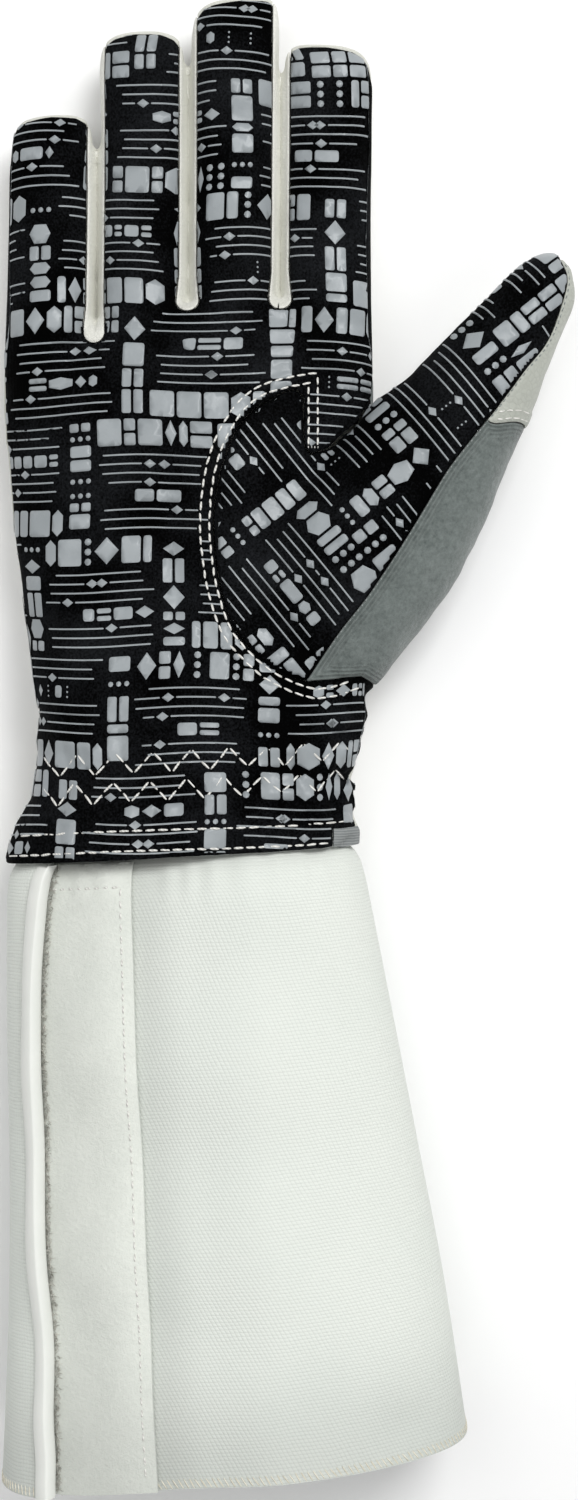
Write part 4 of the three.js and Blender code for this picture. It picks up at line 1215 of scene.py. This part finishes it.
back_hem_top = [(x, hem_line(x) + 6.9) for x in np.linspace(-44, 42, 50)]
back_stitches = threads("back_stitching", [
    run(back_hem, back_tree, 3.1, True), run(back_hem_top, back_tree, 3.1, True),
    run(beside(curve(across_palm(BACK_EDGE), 5), 1.6)[4:], back_tree, 2.8, True),
    run(beside(curve(across_palm(BACK_EDGE), 5), 3.9)[4:], back_tree, 2.8, True),
], 0.55, 0.6, 5)


def on_cuff(rows, place, depth):
    """Stitch places along the cuff: place gives a length round it, depth how deep the face lies."""
    found = []
    for path in rows:
        length = place(path)
        face = depth(length, path)
        swell = cuff_swell(path.at([length], face))
        here, under = path.at([length], face - swell)[0], path.at([length], face + 1)[0]
        way = here - under
        found.append((here, way / np.linalg.norm(way)))
    return found


def path_rows(first, last, pitch):
    return [CuffPath(along) for along in np.arange(first, last, pitch / CUFF_LENGTH)]


loop_face = lambda length, path: LOOP_DEPTH
tape_rows = path_rows(0.045, 0.995, 2.9)
top_row = CuffPath(0.045)
top_places = np.arange(top_row.tape + 3.4, top_row.round - 0.5, 2.6)
tape_runs = [
    on_cuff(tape_rows, lambda path: path.tape + 3.2, loop_face),
    [on_cuff([top_row], lambda path, place=place: place, loop_face)[0] for place in top_places],
]
tape_stitches = threads("tape_stitching", tape_runs, 0.5, 0.9, 6)


def mouth_overlock():
    """Overcast thread round the mouth of the cuff, one slanted loop after another."""
    path = CuffPath(1.0)
    above = CuffPath(1.0 - 2.6 / CUFF_LENGTH)
    runs = []
    for length in np.arange(1.0, path.round + FLAP_OVERLAP - 1, 1.5):
        ends = []
        for row, shift in ((above, 0.35), (path, 0.0)):
            depth = wall_depth(length, row) - cuff_swell(row.at([length], wall_depth(length, row)))
            here = row.at([length + shift], depth)[0]
            under = row.at([length + shift], depth + 1)[0]
            ends.append((here, here - under))
        runs.append(ends)
    return threads("mouth_overlock", runs, 0.34, 0.2, 9, sides=5)


overlock = mouth_overlock()


FIBRE_LENGTH, FIBRE_HALF = 1.5, 0.11


def fibres(name, roots, seed):
    """Loose ends of pile: thin bent three-sided hairs."""
    rng = np.random.default_rng(seed)
    points, faces = [], []
    for root, normal, way in roots:
        way = way + rng.normal(0, 0.5, 3)
        way /= np.linalg.norm(way)
        tall = FIBRE_LENGTH * rng.uniform(0.5, 1.3)
        side = np.cross(way, normal)
        side /= np.linalg.norm(side) + 1e-9
        start = len(points)
        for share, wide in ((0, 1.0), (0.5, 0.8), (1.0, 0.25)):
            bend = 0.35 * share * (1.2 - share) * rng.uniform(0.4, 1.4)
            centre = root + way * share * tall + normal * tall * bend
            for k in range(3):
                angle = 2 * np.pi * k / 3
                spoke = side * math.cos(angle) + normal * math.sin(angle)
                points.append(centre + spoke * FIBRE_HALF * wide)
        for row in range(2):
            for k in range(3):
                a, b = start + row * 3 + k, start + row * 3 + (k + 1) % 3
                faces.append((a, b, b + 3, a + 3))
        faces += [(start, start + 2, start + 1), (start + 6, start + 7, start + 8)]
    obj = new_mesh(name, np.array(points), faces)
    face_out(obj)
    return obj


def tape_fuzz():
    """Ragged pile that stands up beside the flap's edge."""
    rng = np.random.default_rng(12)
    roots = []
    for along in np.linspace(0.01, 0.995, 760):
        path = CuffPath(along)
        for _ in range(2):
            length = path.round + rng.uniform(-1.3, 0.8) - 0.4
            swell = cuff_swell(path.at([length], LOOP_DEPTH))
            here = path.at([length], LOOP_DEPTH - swell)[0]
            out = here - path.at([length], LOOP_DEPTH + 1)[0]
            across = path.at([length - 1], LOOP_DEPTH)[0] - path.at([length], LOOP_DEPTH)[0]
            way = across * rng.uniform(0.2, 1.0) + out * rng.uniform(0.1, 1.0) + [0, rng.normal(0, 0.4), 0]
            roots.append((here, out / np.linalg.norm(out), way))
    return fibres("tape_fuzz", roots, 13)


fuzz = tape_fuzz()

for piece in (palm, thumb_front, thumb_back, thumb_cap, back, tab, *fourchettes):
    thicken(piece)


# Materials.

# The scale of a wave texture whose bands are a millimetre apart, and of a noise with lumps of a millimetre.
BANDS = 100 * math.pi
LUMPS = 1000.0


def tone(code):
    """Linear colour from an sRGB hex code."""
    parts = [int(code[i:i + 2], 16) / 255 for i in (1, 3, 5)]
    return tuple(p / 12.92 if p <= 0.04045 else ((p + 0.055) / 1.055) ** 2.4 for p in parts) + (1.0,)


def add(tree, kind, output, inputs, **settings):
    """Adds a node with its settings, sets or links its inputs and returns one of its outputs."""
    node = tree.nodes.new(kind)
    for name, value in settings.items():
        setattr(node, name, value)
    for name, value in inputs.items():
        if isinstance(value, bpy.types.NodeSocket):
            tree.links.new(value, node.inputs[name])
        else:
            node.inputs[name].default_value = value
    return node.outputs[output]


def finish_named(name):
    """An empty material and its tree."""
    material = bpy.data.materials.new(name)
    material.use_nodes = True
    material.node_tree.nodes.clear()
    return material, material.node_tree


def close(tree, inputs):
    """Ends a material in its shader."""
    shader = add(tree, "ShaderNodeBsdfPrincipled", "BSDF", inputs)
    output = tree.nodes.new("ShaderNodeOutputMaterial")
    tree.links.new(shader, output.inputs["Surface"])


def stitch_grid(tree, wide, tall, flat):
    """Columns and rows of loops on the cloth's own flat map: 0 in the pits and 1 on the loops."""
    waves = []
    for axis, pitch in (("X", wide), ("Y", tall)):
        along = add(tree, "ShaderNodeSeparateXYZ", axis, {"Vector": flat})
        turn = add(tree, "ShaderNodeMath", "Value", {0: along, 1: math.pi * 1000 / pitch}, operation="MULTIPLY")
        wave = add(tree, "ShaderNodeMath", "Value", {0: turn}, operation="SINE")
        waves.append(add(tree, "ShaderNodeMath", "Value", {0: wave}, operation="ABSOLUTE"))
    both = add(tree, "ShaderNodeMath", "Value", {0: waves[0], 1: waves[1]}, operation="MULTIPLY")
    return add(tree, "ShaderNodeMath", "Value", {0: both, 1: 0.4}, operation="POWER")


def palm_knit_material():
    # Warp-knitted polyester with a peached face: nearly black and dull, with wales 0.9 mm apart and grey fluff.
    material, tree = finish_named("warp_knit_polyester_black")
    place = add(tree, "ShaderNodeTexCoord", "Object", {})
    wale = add(tree, "ShaderNodeTexWave", "Fac", {
        "Vector": place, "Scale": BANDS / 0.9, "Distortion": 1.5, "Detail": 2.0, "Detail Scale": 3.0},
        wave_type="BANDS", bands_direction="X")
    fluff = add(tree, "ShaderNodeTexNoise", "Fac", {
        "Vector": place, "Scale": LUMPS / 0.6, "Detail": 4.0, "Roughness": 0.7})
    patches = add(tree, "ShaderNodeTexNoise", "Fac", {"Vector": place, "Scale": LUMPS / 26, "Detail": 2.0})
    both = add(tree, "ShaderNodeMath", "Value", {0: patches, 1: fluff}, operation="MULTIPLY")
    share = add(tree, "ShaderNodeMapRange", "Result", {"Value": both, "From Min": 0.2, "From Max": 0.52})
    colour = add(tree, "ShaderNodeMix", "Result", {
        "Factor": share, "A": tone("#000000"), "B": tone("#26282b")}, data_type="RGBA")
    fine = add(tree, "ShaderNodeBump", "Normal", {"Height": fluff, "Strength": 0.6, "Distance": 0.25 * MM})
    normal = add(tree, "ShaderNodeBump", "Normal", {
        "Height": wale, "Normal": fine, "Strength": 0.35, "Distance": 0.12 * MM})
    close(tree, {
        "Base Color": colour, "Normal": normal, "Roughness": 0.86, "IOR": 1.46, "Specular IOR Level": 0.04})
    return material


def silicone_material():
    # Screen-printed silicone gel: mid grey with a low, slightly patchy gloss and soft swells.
    material, tree = finish_named("screen_printed_silicone_grey")
    place = add(tree, "ShaderNodeTexCoord", "Object", {})
    swell = add(tree, "ShaderNodeTexNoise", "Fac", {"Vector": place, "Scale": LUMPS / 3.5, "Detail": 2.0})
    grain = add(tree, "ShaderNodeTexNoise", "Fac", {"Vector": place, "Scale": LUMPS / 0.6, "Detail": 3.0})
    cloud = add(tree, "ShaderNodeTexNoise", "Fac", {"Vector": place, "Scale": LUMPS / 14, "Detail": 3.0})
    colour = add(tree, "ShaderNodeMix", "Result", {
        "Factor": cloud, "A": tone("#83898c"), "B": tone("#a9afb2")}, data_type="RGBA")
    rough = add(tree, "ShaderNodeMapRange", "Result", {"Value": grain, "To Min": 0.26, "To Max": 0.46})
    fine = add(tree, "ShaderNodeBump", "Normal", {"Height": grain, "Strength": 0.5, "Distance": 0.05 * MM})
    normal = add(tree, "ShaderNodeBump", "Normal", {
        "Height": swell, "Normal": fine, "Strength": 0.6, "Distance": 0.35 * MM})
    close(tree, {
        "Base Color": colour, "Roughness": rough, "Normal": normal, "IOR": 1.41, "Specular IOR Level": 0.55})
    return material


def thread_material(name, light, dark):
    # Spun polyester thread: a slight gloss on a twist about 1.2 mm long.
    material, tree = finish_named(name)
    place = add(tree, "ShaderNodeTexCoord", "Object", {})
    twist = add(tree, "ShaderNodeTexWave", "Fac", {
        "Vector": place, "Scale": 2 * BANDS / 1.2, "Distortion": 1.0}, bands_direction="DIAGONAL")
    colour = add(tree, "ShaderNodeMix", "Result", {
        "Factor": twist, "A": tone(dark), "B": tone(light)}, data_type="RGBA")
    normal = add(tree, "ShaderNodeBump", "Normal", {"Height": twist, "Strength": 0.8, "Distance": 0.12 * MM})
    close(tree, {"Base Color": colour, "Normal": normal, "Roughness": 0.55, "IOR": 1.5})
    return material


def leather_material(name, light, dark, rough, grain_size):
    # Goatskin, drum dyed and smooth rolled: pebbles of about a millimetre with fine creases between.
    material, tree = finish_named(name)
    place = add(tree, "ShaderNodeTexCoord", "Object", {})
    edge = add(tree, "ShaderNodeTexVoronoi", "Distance", {
        "Vector": place, "Scale": LUMPS / grain_size}, feature="DISTANCE_TO_EDGE")
    pebble = add(tree, "ShaderNodeMapRange", "Result", {"Value": edge, "From Max": 0.17})
    crease = add(tree, "ShaderNodeTexNoise", "Fac", {
        "Vector": place, "Scale": LUMPS / 7, "Detail": 4.0, "Roughness": 0.55})
    wear = add(tree, "ShaderNodeTexNoise", "Fac", {"Vector": place, "Scale": LUMPS / 30, "Detail": 3.0})
    valley = add(tree, "ShaderNodeMapRange", "Result", {"Value": pebble, "To Min": 0.8, "To Max": 1.2})
    share = add(tree, "ShaderNodeMath", "Value", {0: wear, 1: valley}, operation="MULTIPLY")
    colour = add(tree, "ShaderNodeMix", "Result", {
        "Factor": share, "A": tone(dark), "B": tone(light)}, data_type="RGBA")
    folds = add(tree, "ShaderNodeBump", "Normal", {"Height": crease, "Strength": 0.45, "Distance": 0.6 * MM})
    normal = add(tree, "ShaderNodeBump", "Normal", {
        "Height": pebble, "Normal": folds, "Strength": 0.55, "Distance": 0.12 * MM})
    close(tree, {
        "Base Color": colour, "Normal": normal, "Roughness": rough, "IOR": 1.5, "Specular IOR Level": 0.4})
    return material


def suede_material():
    # Brushed stretch microfibre: short nap, slightly blotched, with fine ribs where the seam draws it in, and
    # painted light that pales it away from its seams, with a little painted shade at them.
    material, tree = finish_named("brushed_microfibre_suede_grey")
    place = add(tree, "ShaderNodeTexCoord", "Object", {})
    gap = add(tree, "ShaderNodeAttribute", "Fac", {}, attribute_name="edge_gap")
    turn = add(tree, "ShaderNodeMath", "Value", {0: gap, 1: 2 * math.pi / 1.05}, operation="MULTIPLY")
    ribs = add(tree, "ShaderNodeMath", "Value", {0: turn}, operation="SINE")
    near = add(tree, "ShaderNodeMapRange", "Result", {
        "Value": gap, "From Min": 0.8, "From Max": 4.5, "To Min": 1.0, "To Max": 0.0})
    ribbed = add(tree, "ShaderNodeMath", "Value", {0: ribs, 1: near}, operation="MULTIPLY")
    fibre = add(tree, "ShaderNodeTexNoise", "Fac", {
        "Vector": place, "Scale": LUMPS / 1.4, "Detail": 5.0, "Roughness": 0.75})
    nap = add(tree, "ShaderNodeMapRange", "Result", {"Value": fibre, "From Min": 0.3, "From Max": 0.7})
    cloud = add(tree, "ShaderNodeTexNoise", "Fac", {
        "Vector": place, "Scale": LUMPS / 9, "Detail": 4.0, "Roughness": 0.6})
    # Painted light and shade: the colour pales over the first 14 mm from the panel's edges and is a little
    # darker at them.
    outer = add(tree, "ShaderNodeMapRange", "Result", {
        "Value": gap, "From Min": 1.0, "From Max": 14.0, "To Min": -0.03, "To Max": 0.14})
    grain = add(tree, "ShaderNodeMath", "Value", {0: nap, 1: cloud}, operation="ADD")
    nap_and_painted_light = add(tree, "ShaderNodeMath", "Value", {0: grain, 1: 0.5, 2: outer}, operation="MULTIPLY_ADD")
    share = add(tree, "ShaderNodeMath", "Value", {0: ribbed, 1: 0.16, 2: nap_and_painted_light}, operation="MULTIPLY_ADD")
    colour = add(tree, "ShaderNodeMix", "Result", {
        "Factor": share, "A": tone("#3f4745"), "B": tone("#868e8b")}, data_type="RGBA")
    fine = add(tree, "ShaderNodeBump", "Normal", {"Height": nap, "Strength": 0.7, "Distance": 0.25 * MM})
    normal = add(tree, "ShaderNodeBump", "Normal", {
        "Height": ribbed, "Normal": fine, "Strength": 0.6, "Distance": 0.3 * MM})
    close(tree, {
        "Base Color": colour, "Normal": normal, "Roughness": 0.92, "IOR": 1.45,
        "Sheen Weight": 0.35, "Sheen Roughness": 0.45, "Specular IOR Level": 0.2})
    return material


def knit_material():
    # Double-knit polyester with a smooth face: loops 1.1 mm wide and 0.9 mm tall, with painted shade in
    # the tiny pits, beside the loop tape's stitched edge and towards the mouth.
    material, tree = finish_named("double_knit_polyester_white")
    place = add(tree, "ShaderNodeTexCoord", "Object", {})
    cloth_map = add(tree, "ShaderNodeTexCoord", "UV", {})
    waver = add(tree, "ShaderNodeTexNoise", "Color", {"Vector": place, "Scale": LUMPS / 11, "Detail": 2.0})
    shift = add(tree, "ShaderNodeVectorMath", "Vector", {
        0: waver, 1: (0.9 * MM, 0.9 * MM, 0.0)}, operation="MULTIPLY")
    flat = add(tree, "ShaderNodeVectorMath", "Vector", {0: cloth_map, 1: shift}, operation="ADD")
    loops = stitch_grid(tree, 1.1, 0.9, flat)
    cloud = add(tree, "ShaderNodeTexNoise", "Fac", {"Vector": place, "Scale": LUMPS / 40, "Detail": 3.0})
    fluff = add(tree, "ShaderNodeTexNoise", "Fac", {
        "Vector": place, "Scale": LUMPS / 0.8, "Detail": 4.0, "Roughness": 0.7})
    tint = add(tree, "ShaderNodeMix", "Result", {
        "Factor": cloud, "A": tone("#e1e7e0"), "B": tone("#ecefe8")}, data_type="RGBA")
    # Painted shade: the colour darkens in the pits between the loops.
    pits = add(tree, "ShaderNodeMapRange", "Result", {
        "Value": loops, "From Min": 0.0, "From Max": 0.55, "To Min": 0.86, "To Max": 1.0})
    # Painted shade: the knit darkens by up to a fifth near the loop tape's stitched edge.
    rub = add(tree, "ShaderNodeAttribute", "Fac", {}, attribute_name="rub")
    below = add(tree, "ShaderNodeSeparateXYZ", "Y", {"Vector": cloth_map})
    # Painted shade: the knit darkens from 118 mm below the hem down to the mouth.
    painted_shade_to_mouth = add(tree, "ShaderNodeMapRange", "Result", {
        "Value": below, "From Min": 0.118, "From Max": 0.158, "To Min": 1.0, "To Max": 0.8},
        interpolation_type="SMOOTHSTEP")
    tape_edge_light_shade_factor = add(tree, "ShaderNodeMath", "Value", {0: rub, 1: -0.19, 2: 1.0}, operation="MULTIPLY_ADD")
    dull = add(tree, "ShaderNodeMath", "Value", {0: painted_shade_to_mouth, 1: tape_edge_light_shade_factor}, operation="MULTIPLY")
    scale = add(tree, "ShaderNodeMath", "Value", {0: pits, 1: dull}, operation="MULTIPLY")
    shade = add(tree, "ShaderNodeVectorMath", "Vector", {0: tint, "Scale": scale}, operation="SCALE")
    fine = add(tree, "ShaderNodeBump", "Normal", {"Height": fluff, "Strength": 0.5, "Distance": 0.12 * MM})
    normal = add(tree, "ShaderNodeBump", "Normal", {
        "Height": loops, "Normal": fine, "Strength": 0.65, "Distance": 0.2 * MM})
    close(tree, {
        "Base Color": shade, "Normal": normal, "Roughness": 0.85, "IOR": 1.46,
        "Sheen Weight": 0.12, "Sheen Roughness": 0.5, "Specular IOR Level": 0.25})
    return material


def pile_material():
    # Brushed nylon loop tape: a matted fleece, creamier than the knit, with painted light by its stitched edge
    # and painted shade towards the mouth.
    material, tree = finish_named("brushed_nylon_loop_tape_white")
    place = add(tree, "ShaderNodeTexCoord", "Object", {})
    cloth_map = add(tree, "ShaderNodeTexCoord", "UV", {})
    mat = add(tree, "ShaderNodeTexNoise", "Fac", {
        "Vector": place, "Scale": LUMPS / 1.1, "Detail": 6.0, "Roughness": 0.75})
    cloud = add(tree, "ShaderNodeTexNoise", "Fac", {
        "Vector": place, "Scale": LUMPS / 12, "Detail": 4.0, "Roughness": 0.6})
    both = add(tree, "ShaderNodeMath", "Value", {0: mat, 1: cloud}, operation="ADD")
    share = add(tree, "ShaderNodeMath", "Value", {0: both, 1: 0.6}, operation="MULTIPLY")
    tint = add(tree, "ShaderNodeMix", "Result", {
        "Factor": share, "A": tone("#cacfc7"), "B": tone("#ecefe7")}, data_type="RGBA")
    # Painted light: the tape lightens towards its stitched edge.
    rub = add(tree, "ShaderNodeAttribute", "Fac", {}, attribute_name="rub")
    below = add(tree, "ShaderNodeSeparateXYZ", "Y", {"Vector": cloth_map})
    # Painted shade: the tape darkens from 110 mm below the hem down to the mouth.
    painted_shade_to_mouth = add(tree, "ShaderNodeMapRange", "Result", {
        "Value": below, "From Min": 0.11, "From Max": 0.158, "To Min": 1.0, "To Max": 0.82},
        interpolation_type="SMOOTHSTEP")
    tape_edge_light_shade_factor = add(tree, "ShaderNodeMath", "Value", {0: rub, 1: 0.15, 2: 1.01}, operation="MULTIPLY_ADD")
    scale = add(tree, "ShaderNodeMath", "Value", {0: painted_shade_to_mouth, 1: tape_edge_light_shade_factor}, operation="MULTIPLY")
    colour = add(tree, "ShaderNodeVectorMath", "Vector", {0: tint, "Scale": scale}, operation="SCALE")
    lumps = add(tree, "ShaderNodeBump", "Normal", {"Height": cloud, "Strength": 0.4, "Distance": 0.6 * MM})
    normal = add(tree, "ShaderNodeBump", "Normal", {
        "Height": mat, "Normal": lumps, "Strength": 0.8, "Distance": 0.5 * MM})
    close(tree, {
        "Base Color": colour, "Normal": normal, "Roughness": 0.95, "IOR": 1.5,
        "Sheen Weight": 0.3, "Sheen Roughness": 0.6, "Specular IOR Level": 0.2})
    return material


def fuzz_material():
    # Broken nylon loops that stand up from the tape: greyer than the matted face, in patches.
    material, tree = finish_named("raised_nylon_fibre_grey")
    place = add(tree, "ShaderNodeTexCoord", "Object", {})
    grey_patches = add(tree, "ShaderNodeTexNoise", "Fac", {"Vector": place, "Scale": LUMPS / 2, "Detail": 3.0})
    share = add(tree, "ShaderNodeMapRange", "Result", {"Value": grey_patches, "From Min": 0.3, "From Max": 0.7})
    colour = add(tree, "ShaderNodeMix", "Result", {
        "Factor": share, "A": tone("#8f8d84"), "B": tone("#e4e2da")}, data_type="RGBA")
    close(tree, {"Base Color": colour, "Roughness": 0.8, "IOR": 1.53})
    return material


def hook_material():
    # Extruded nylon hooks in rows 1.3 mm apart, a little shiny.
    material, tree = finish_named("moulded_nylon_hook_tape")
    hooks = stitch_grid(tree, 1.3, 1.3, add(tree, "ShaderNodeTexCoord", "UV", {}))
    colour = add(tree, "ShaderNodeMix", "Result", {
        "Factor": hooks, "A": tone("#b9bbb4"), "B": tone("#e6e7e1")}, data_type="RGBA")
    normal = add(tree, "ShaderNodeBump", "Normal", {"Height": hooks, "Strength": 0.9, "Distance": 0.5 * MM})
    close(tree, {"Base Color": colour, "Normal": normal, "Roughness": 0.45, "IOR": 1.53})
    return material


def binding_material():
    # Folded nylon edge tape, calendered smooth: bright, with a soft satin gloss.
    material, tree = finish_named("calendered_nylon_binding_white")
    place = add(tree, "ShaderNodeTexCoord", "Object", {})
    weave = add(tree, "ShaderNodeTexNoise", "Fac", {"Vector": place, "Scale": LUMPS / 0.6, "Detail": 3.0})
    soft = add(tree, "ShaderNodeTexNoise", "Fac", {"Vector": place, "Scale": LUMPS / 9, "Detail": 3.0})
    colour = add(tree, "ShaderNodeMix", "Result", {
        "Factor": soft, "A": tone("#e6e9e3"), "B": tone("#f0f1ec")}, data_type="RGBA")
    swell = add(tree, "ShaderNodeBump", "Normal", {"Height": soft, "Strength": 0.35, "Distance": 0.5 * MM})
    normal = add(tree, "ShaderNodeBump", "Normal", {
        "Height": weave, "Normal": swell, "Strength": 0.4, "Distance": 0.06 * MM})
    close(tree, {
        "Base Color": colour, "Normal": normal, "Roughness": 0.5, "IOR": 1.53, "Specular IOR Level": 0.4})
    return material


def tab_material():
    # Narrow woven polyester tape, grey, with ribs 0.7 mm apart.
    material, tree = finish_named("woven_polyester_tape_grey")
    place = add(tree, "ShaderNodeTexCoord", "Object", {})
    weave = add(tree, "ShaderNodeTexWave", "Fac", {
        "Vector": place, "Scale": BANDS / 0.7, "Distortion": 1.0}, bands_direction="Y")
    colour = add(tree, "ShaderNodeMix", "Result", {
        "Factor": weave, "A": tone("#787c7d"), "B": tone("#959998")}, data_type="RGBA")
    normal = add(tree, "ShaderNodeBump", "Normal", {"Height": weave, "Strength": 0.6, "Distance": 0.15 * MM})
    close(tree, {"Base Color": colour, "Normal": normal, "Roughness": 0.8, "IOR": 1.48})
    return material


def floor_material():
    # Matt white studio paper: even and without gloss, so that only the glove's own shadow marks it.
    material, tree = finish_named("matt_studio_paper_white")
    close(tree, {"Base Color": tone("#ffffff"), "Roughness": 0.95, "Specular IOR Level": 0.0})
    return material


def dress(obj, material, slot, *nodes):
    """Gives a piece its material, hangs it on the root and hides the solids it stands for; slot is not used."""
    obj.data.materials.clear()
    obj.data.materials.append(material)
    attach(obj, "root")
    if nodes:
        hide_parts(*nodes)


black_knit = palm_knit_material()
silicone = silicone_material()
white_thread = thread_material("spun_polyester_thread_white", "#f4f3ee", "#cfcec8")
cream_thread = thread_material("spun_polyester_thread_cream", "#eeeadb", "#d9d3c0")
white_leather = leather_material("goatskin_white_smooth", "#dedfd6", "#cbcbc1", 0.5, 1.2)
wall_leather = leather_material("goatskin_white_skived", "#e9e9e2", "#d8d8cf", 0.45, 1.0)
cap_leather = leather_material("goatskin_stone_grey", "#c0c3ba", "#a1a49b", 0.55, 1.4)
suede = suede_material()
knit = knit_material()
pile = pile_material()

dress(palm, black_knit, "palm_fabric", "palm_panel")
dress(thumb_front, black_knit, "palm_fabric", "thumb_front")
dress(palm_print, silicone, "palm_fabric")
dress(thumb_print, silicone, "palm_fabric")
dress(thumb_back, suede, "grey_suede", "thumb_back")
dress(thumb_cap, cap_leather, "white_leather", "thumb_tip_cap")
dress(back, white_leather, "white_leather", "hand_back")
dress(tab, tab_material(), "grey_suede", "hem_tab")
for piece in fourchettes:
    dress(piece, wall_leather, "white_leather", piece.name.replace("_leather", ""))
dress(cuff, knit, "cuff_knit", "cuff_wall")
dress(loop_tape, pile, "closing_tape", "loop_tape")
dress(hook_tape, hook_material(), "closing_tape", "hook_tape")
dress(binding, binding_material(), "edge_tape", "edge_binding")
dress(fuzz, fuzz_material(), "closing_tape")
for piece in (palm_stitches, cap_stitches, back_stitches, tape_stitches):
    dress(piece, white_thread, None)
dress(thumb_seam_stitches, thread_material("spun_polyester_thread_grey", "#9aa09e", "#757b79"), None)
dress(overlock, cream_thread, None)


# Camera, floor and light.

eye = bpy.data.cameras.new("photo_camera")
eye.sensor_fit = "VERTICAL"
eye.sensor_height = 36.0
eye.lens = 55.8
eye.clip_start = 0.01
camera = bpy.data.objects.new("photo_camera", eye)
camera.location = ((26.7 + PLACE[0]) * MM, (27.2 + PLACE[1]) * MM, 0.635)
bpy.context.scene.collection.objects.link(camera)
bpy.context.scene.camera = camera

bpy.ops.mesh.primitive_plane_add(size=6, location=(0, 0, 0))
floor = bpy.context.object
floor.name = "studio_floor"
floor.data.materials.append(floor_material())

# The cuff is one sheet of knit, wrapped round with its flap over its own front.
widths = [path.round + FLAP_OVERLAP + LOOP_THICKNESS for path in paths]
steps_down = [(q.along - p.along) * CUFF_LENGTH for p, q in zip(paths, paths[1:])]
flat_area = sum((a + b) / 2 * down for a, b, down in zip(widths, widths[1:], steps_down))

world = bpy.data.worlds.new("studio")
world.use_nodes = True
world.node_tree.nodes["Background"].inputs["Color"].default_value = tone("#ffffff")
world.node_tree.nodes["Background"].inputs["Strength"].default_value = 0.36
bpy.context.scene.world = world


def soft_box(name, place, size, power):
    """A square soft light that looks at the glove's middle."""
    light = bpy.data.lights.new(name, "AREA")
    light.shape = "SQUARE"
    light.size = size
    light.energy = power
    obj = bpy.data.objects.new(name, light)
    obj.location = place
    obj.rotation_euler = (-Vector(place)).to_track_quat("-Z", "Y").to_euler()
    bpy.context.scene.collection.objects.link(obj)


soft_box("key_light", (0.45, 0.7, 1.15), 0.6, 11.5)
soft_box("fill_light", (-0.45, 0.25, 1.25), 0.8, 3.2)
soft_box("low_light", (0.2, -0.9, 1.1), 0.7, 2.8)
bpy.context.scene.view_settings.view_transform = "Standard"
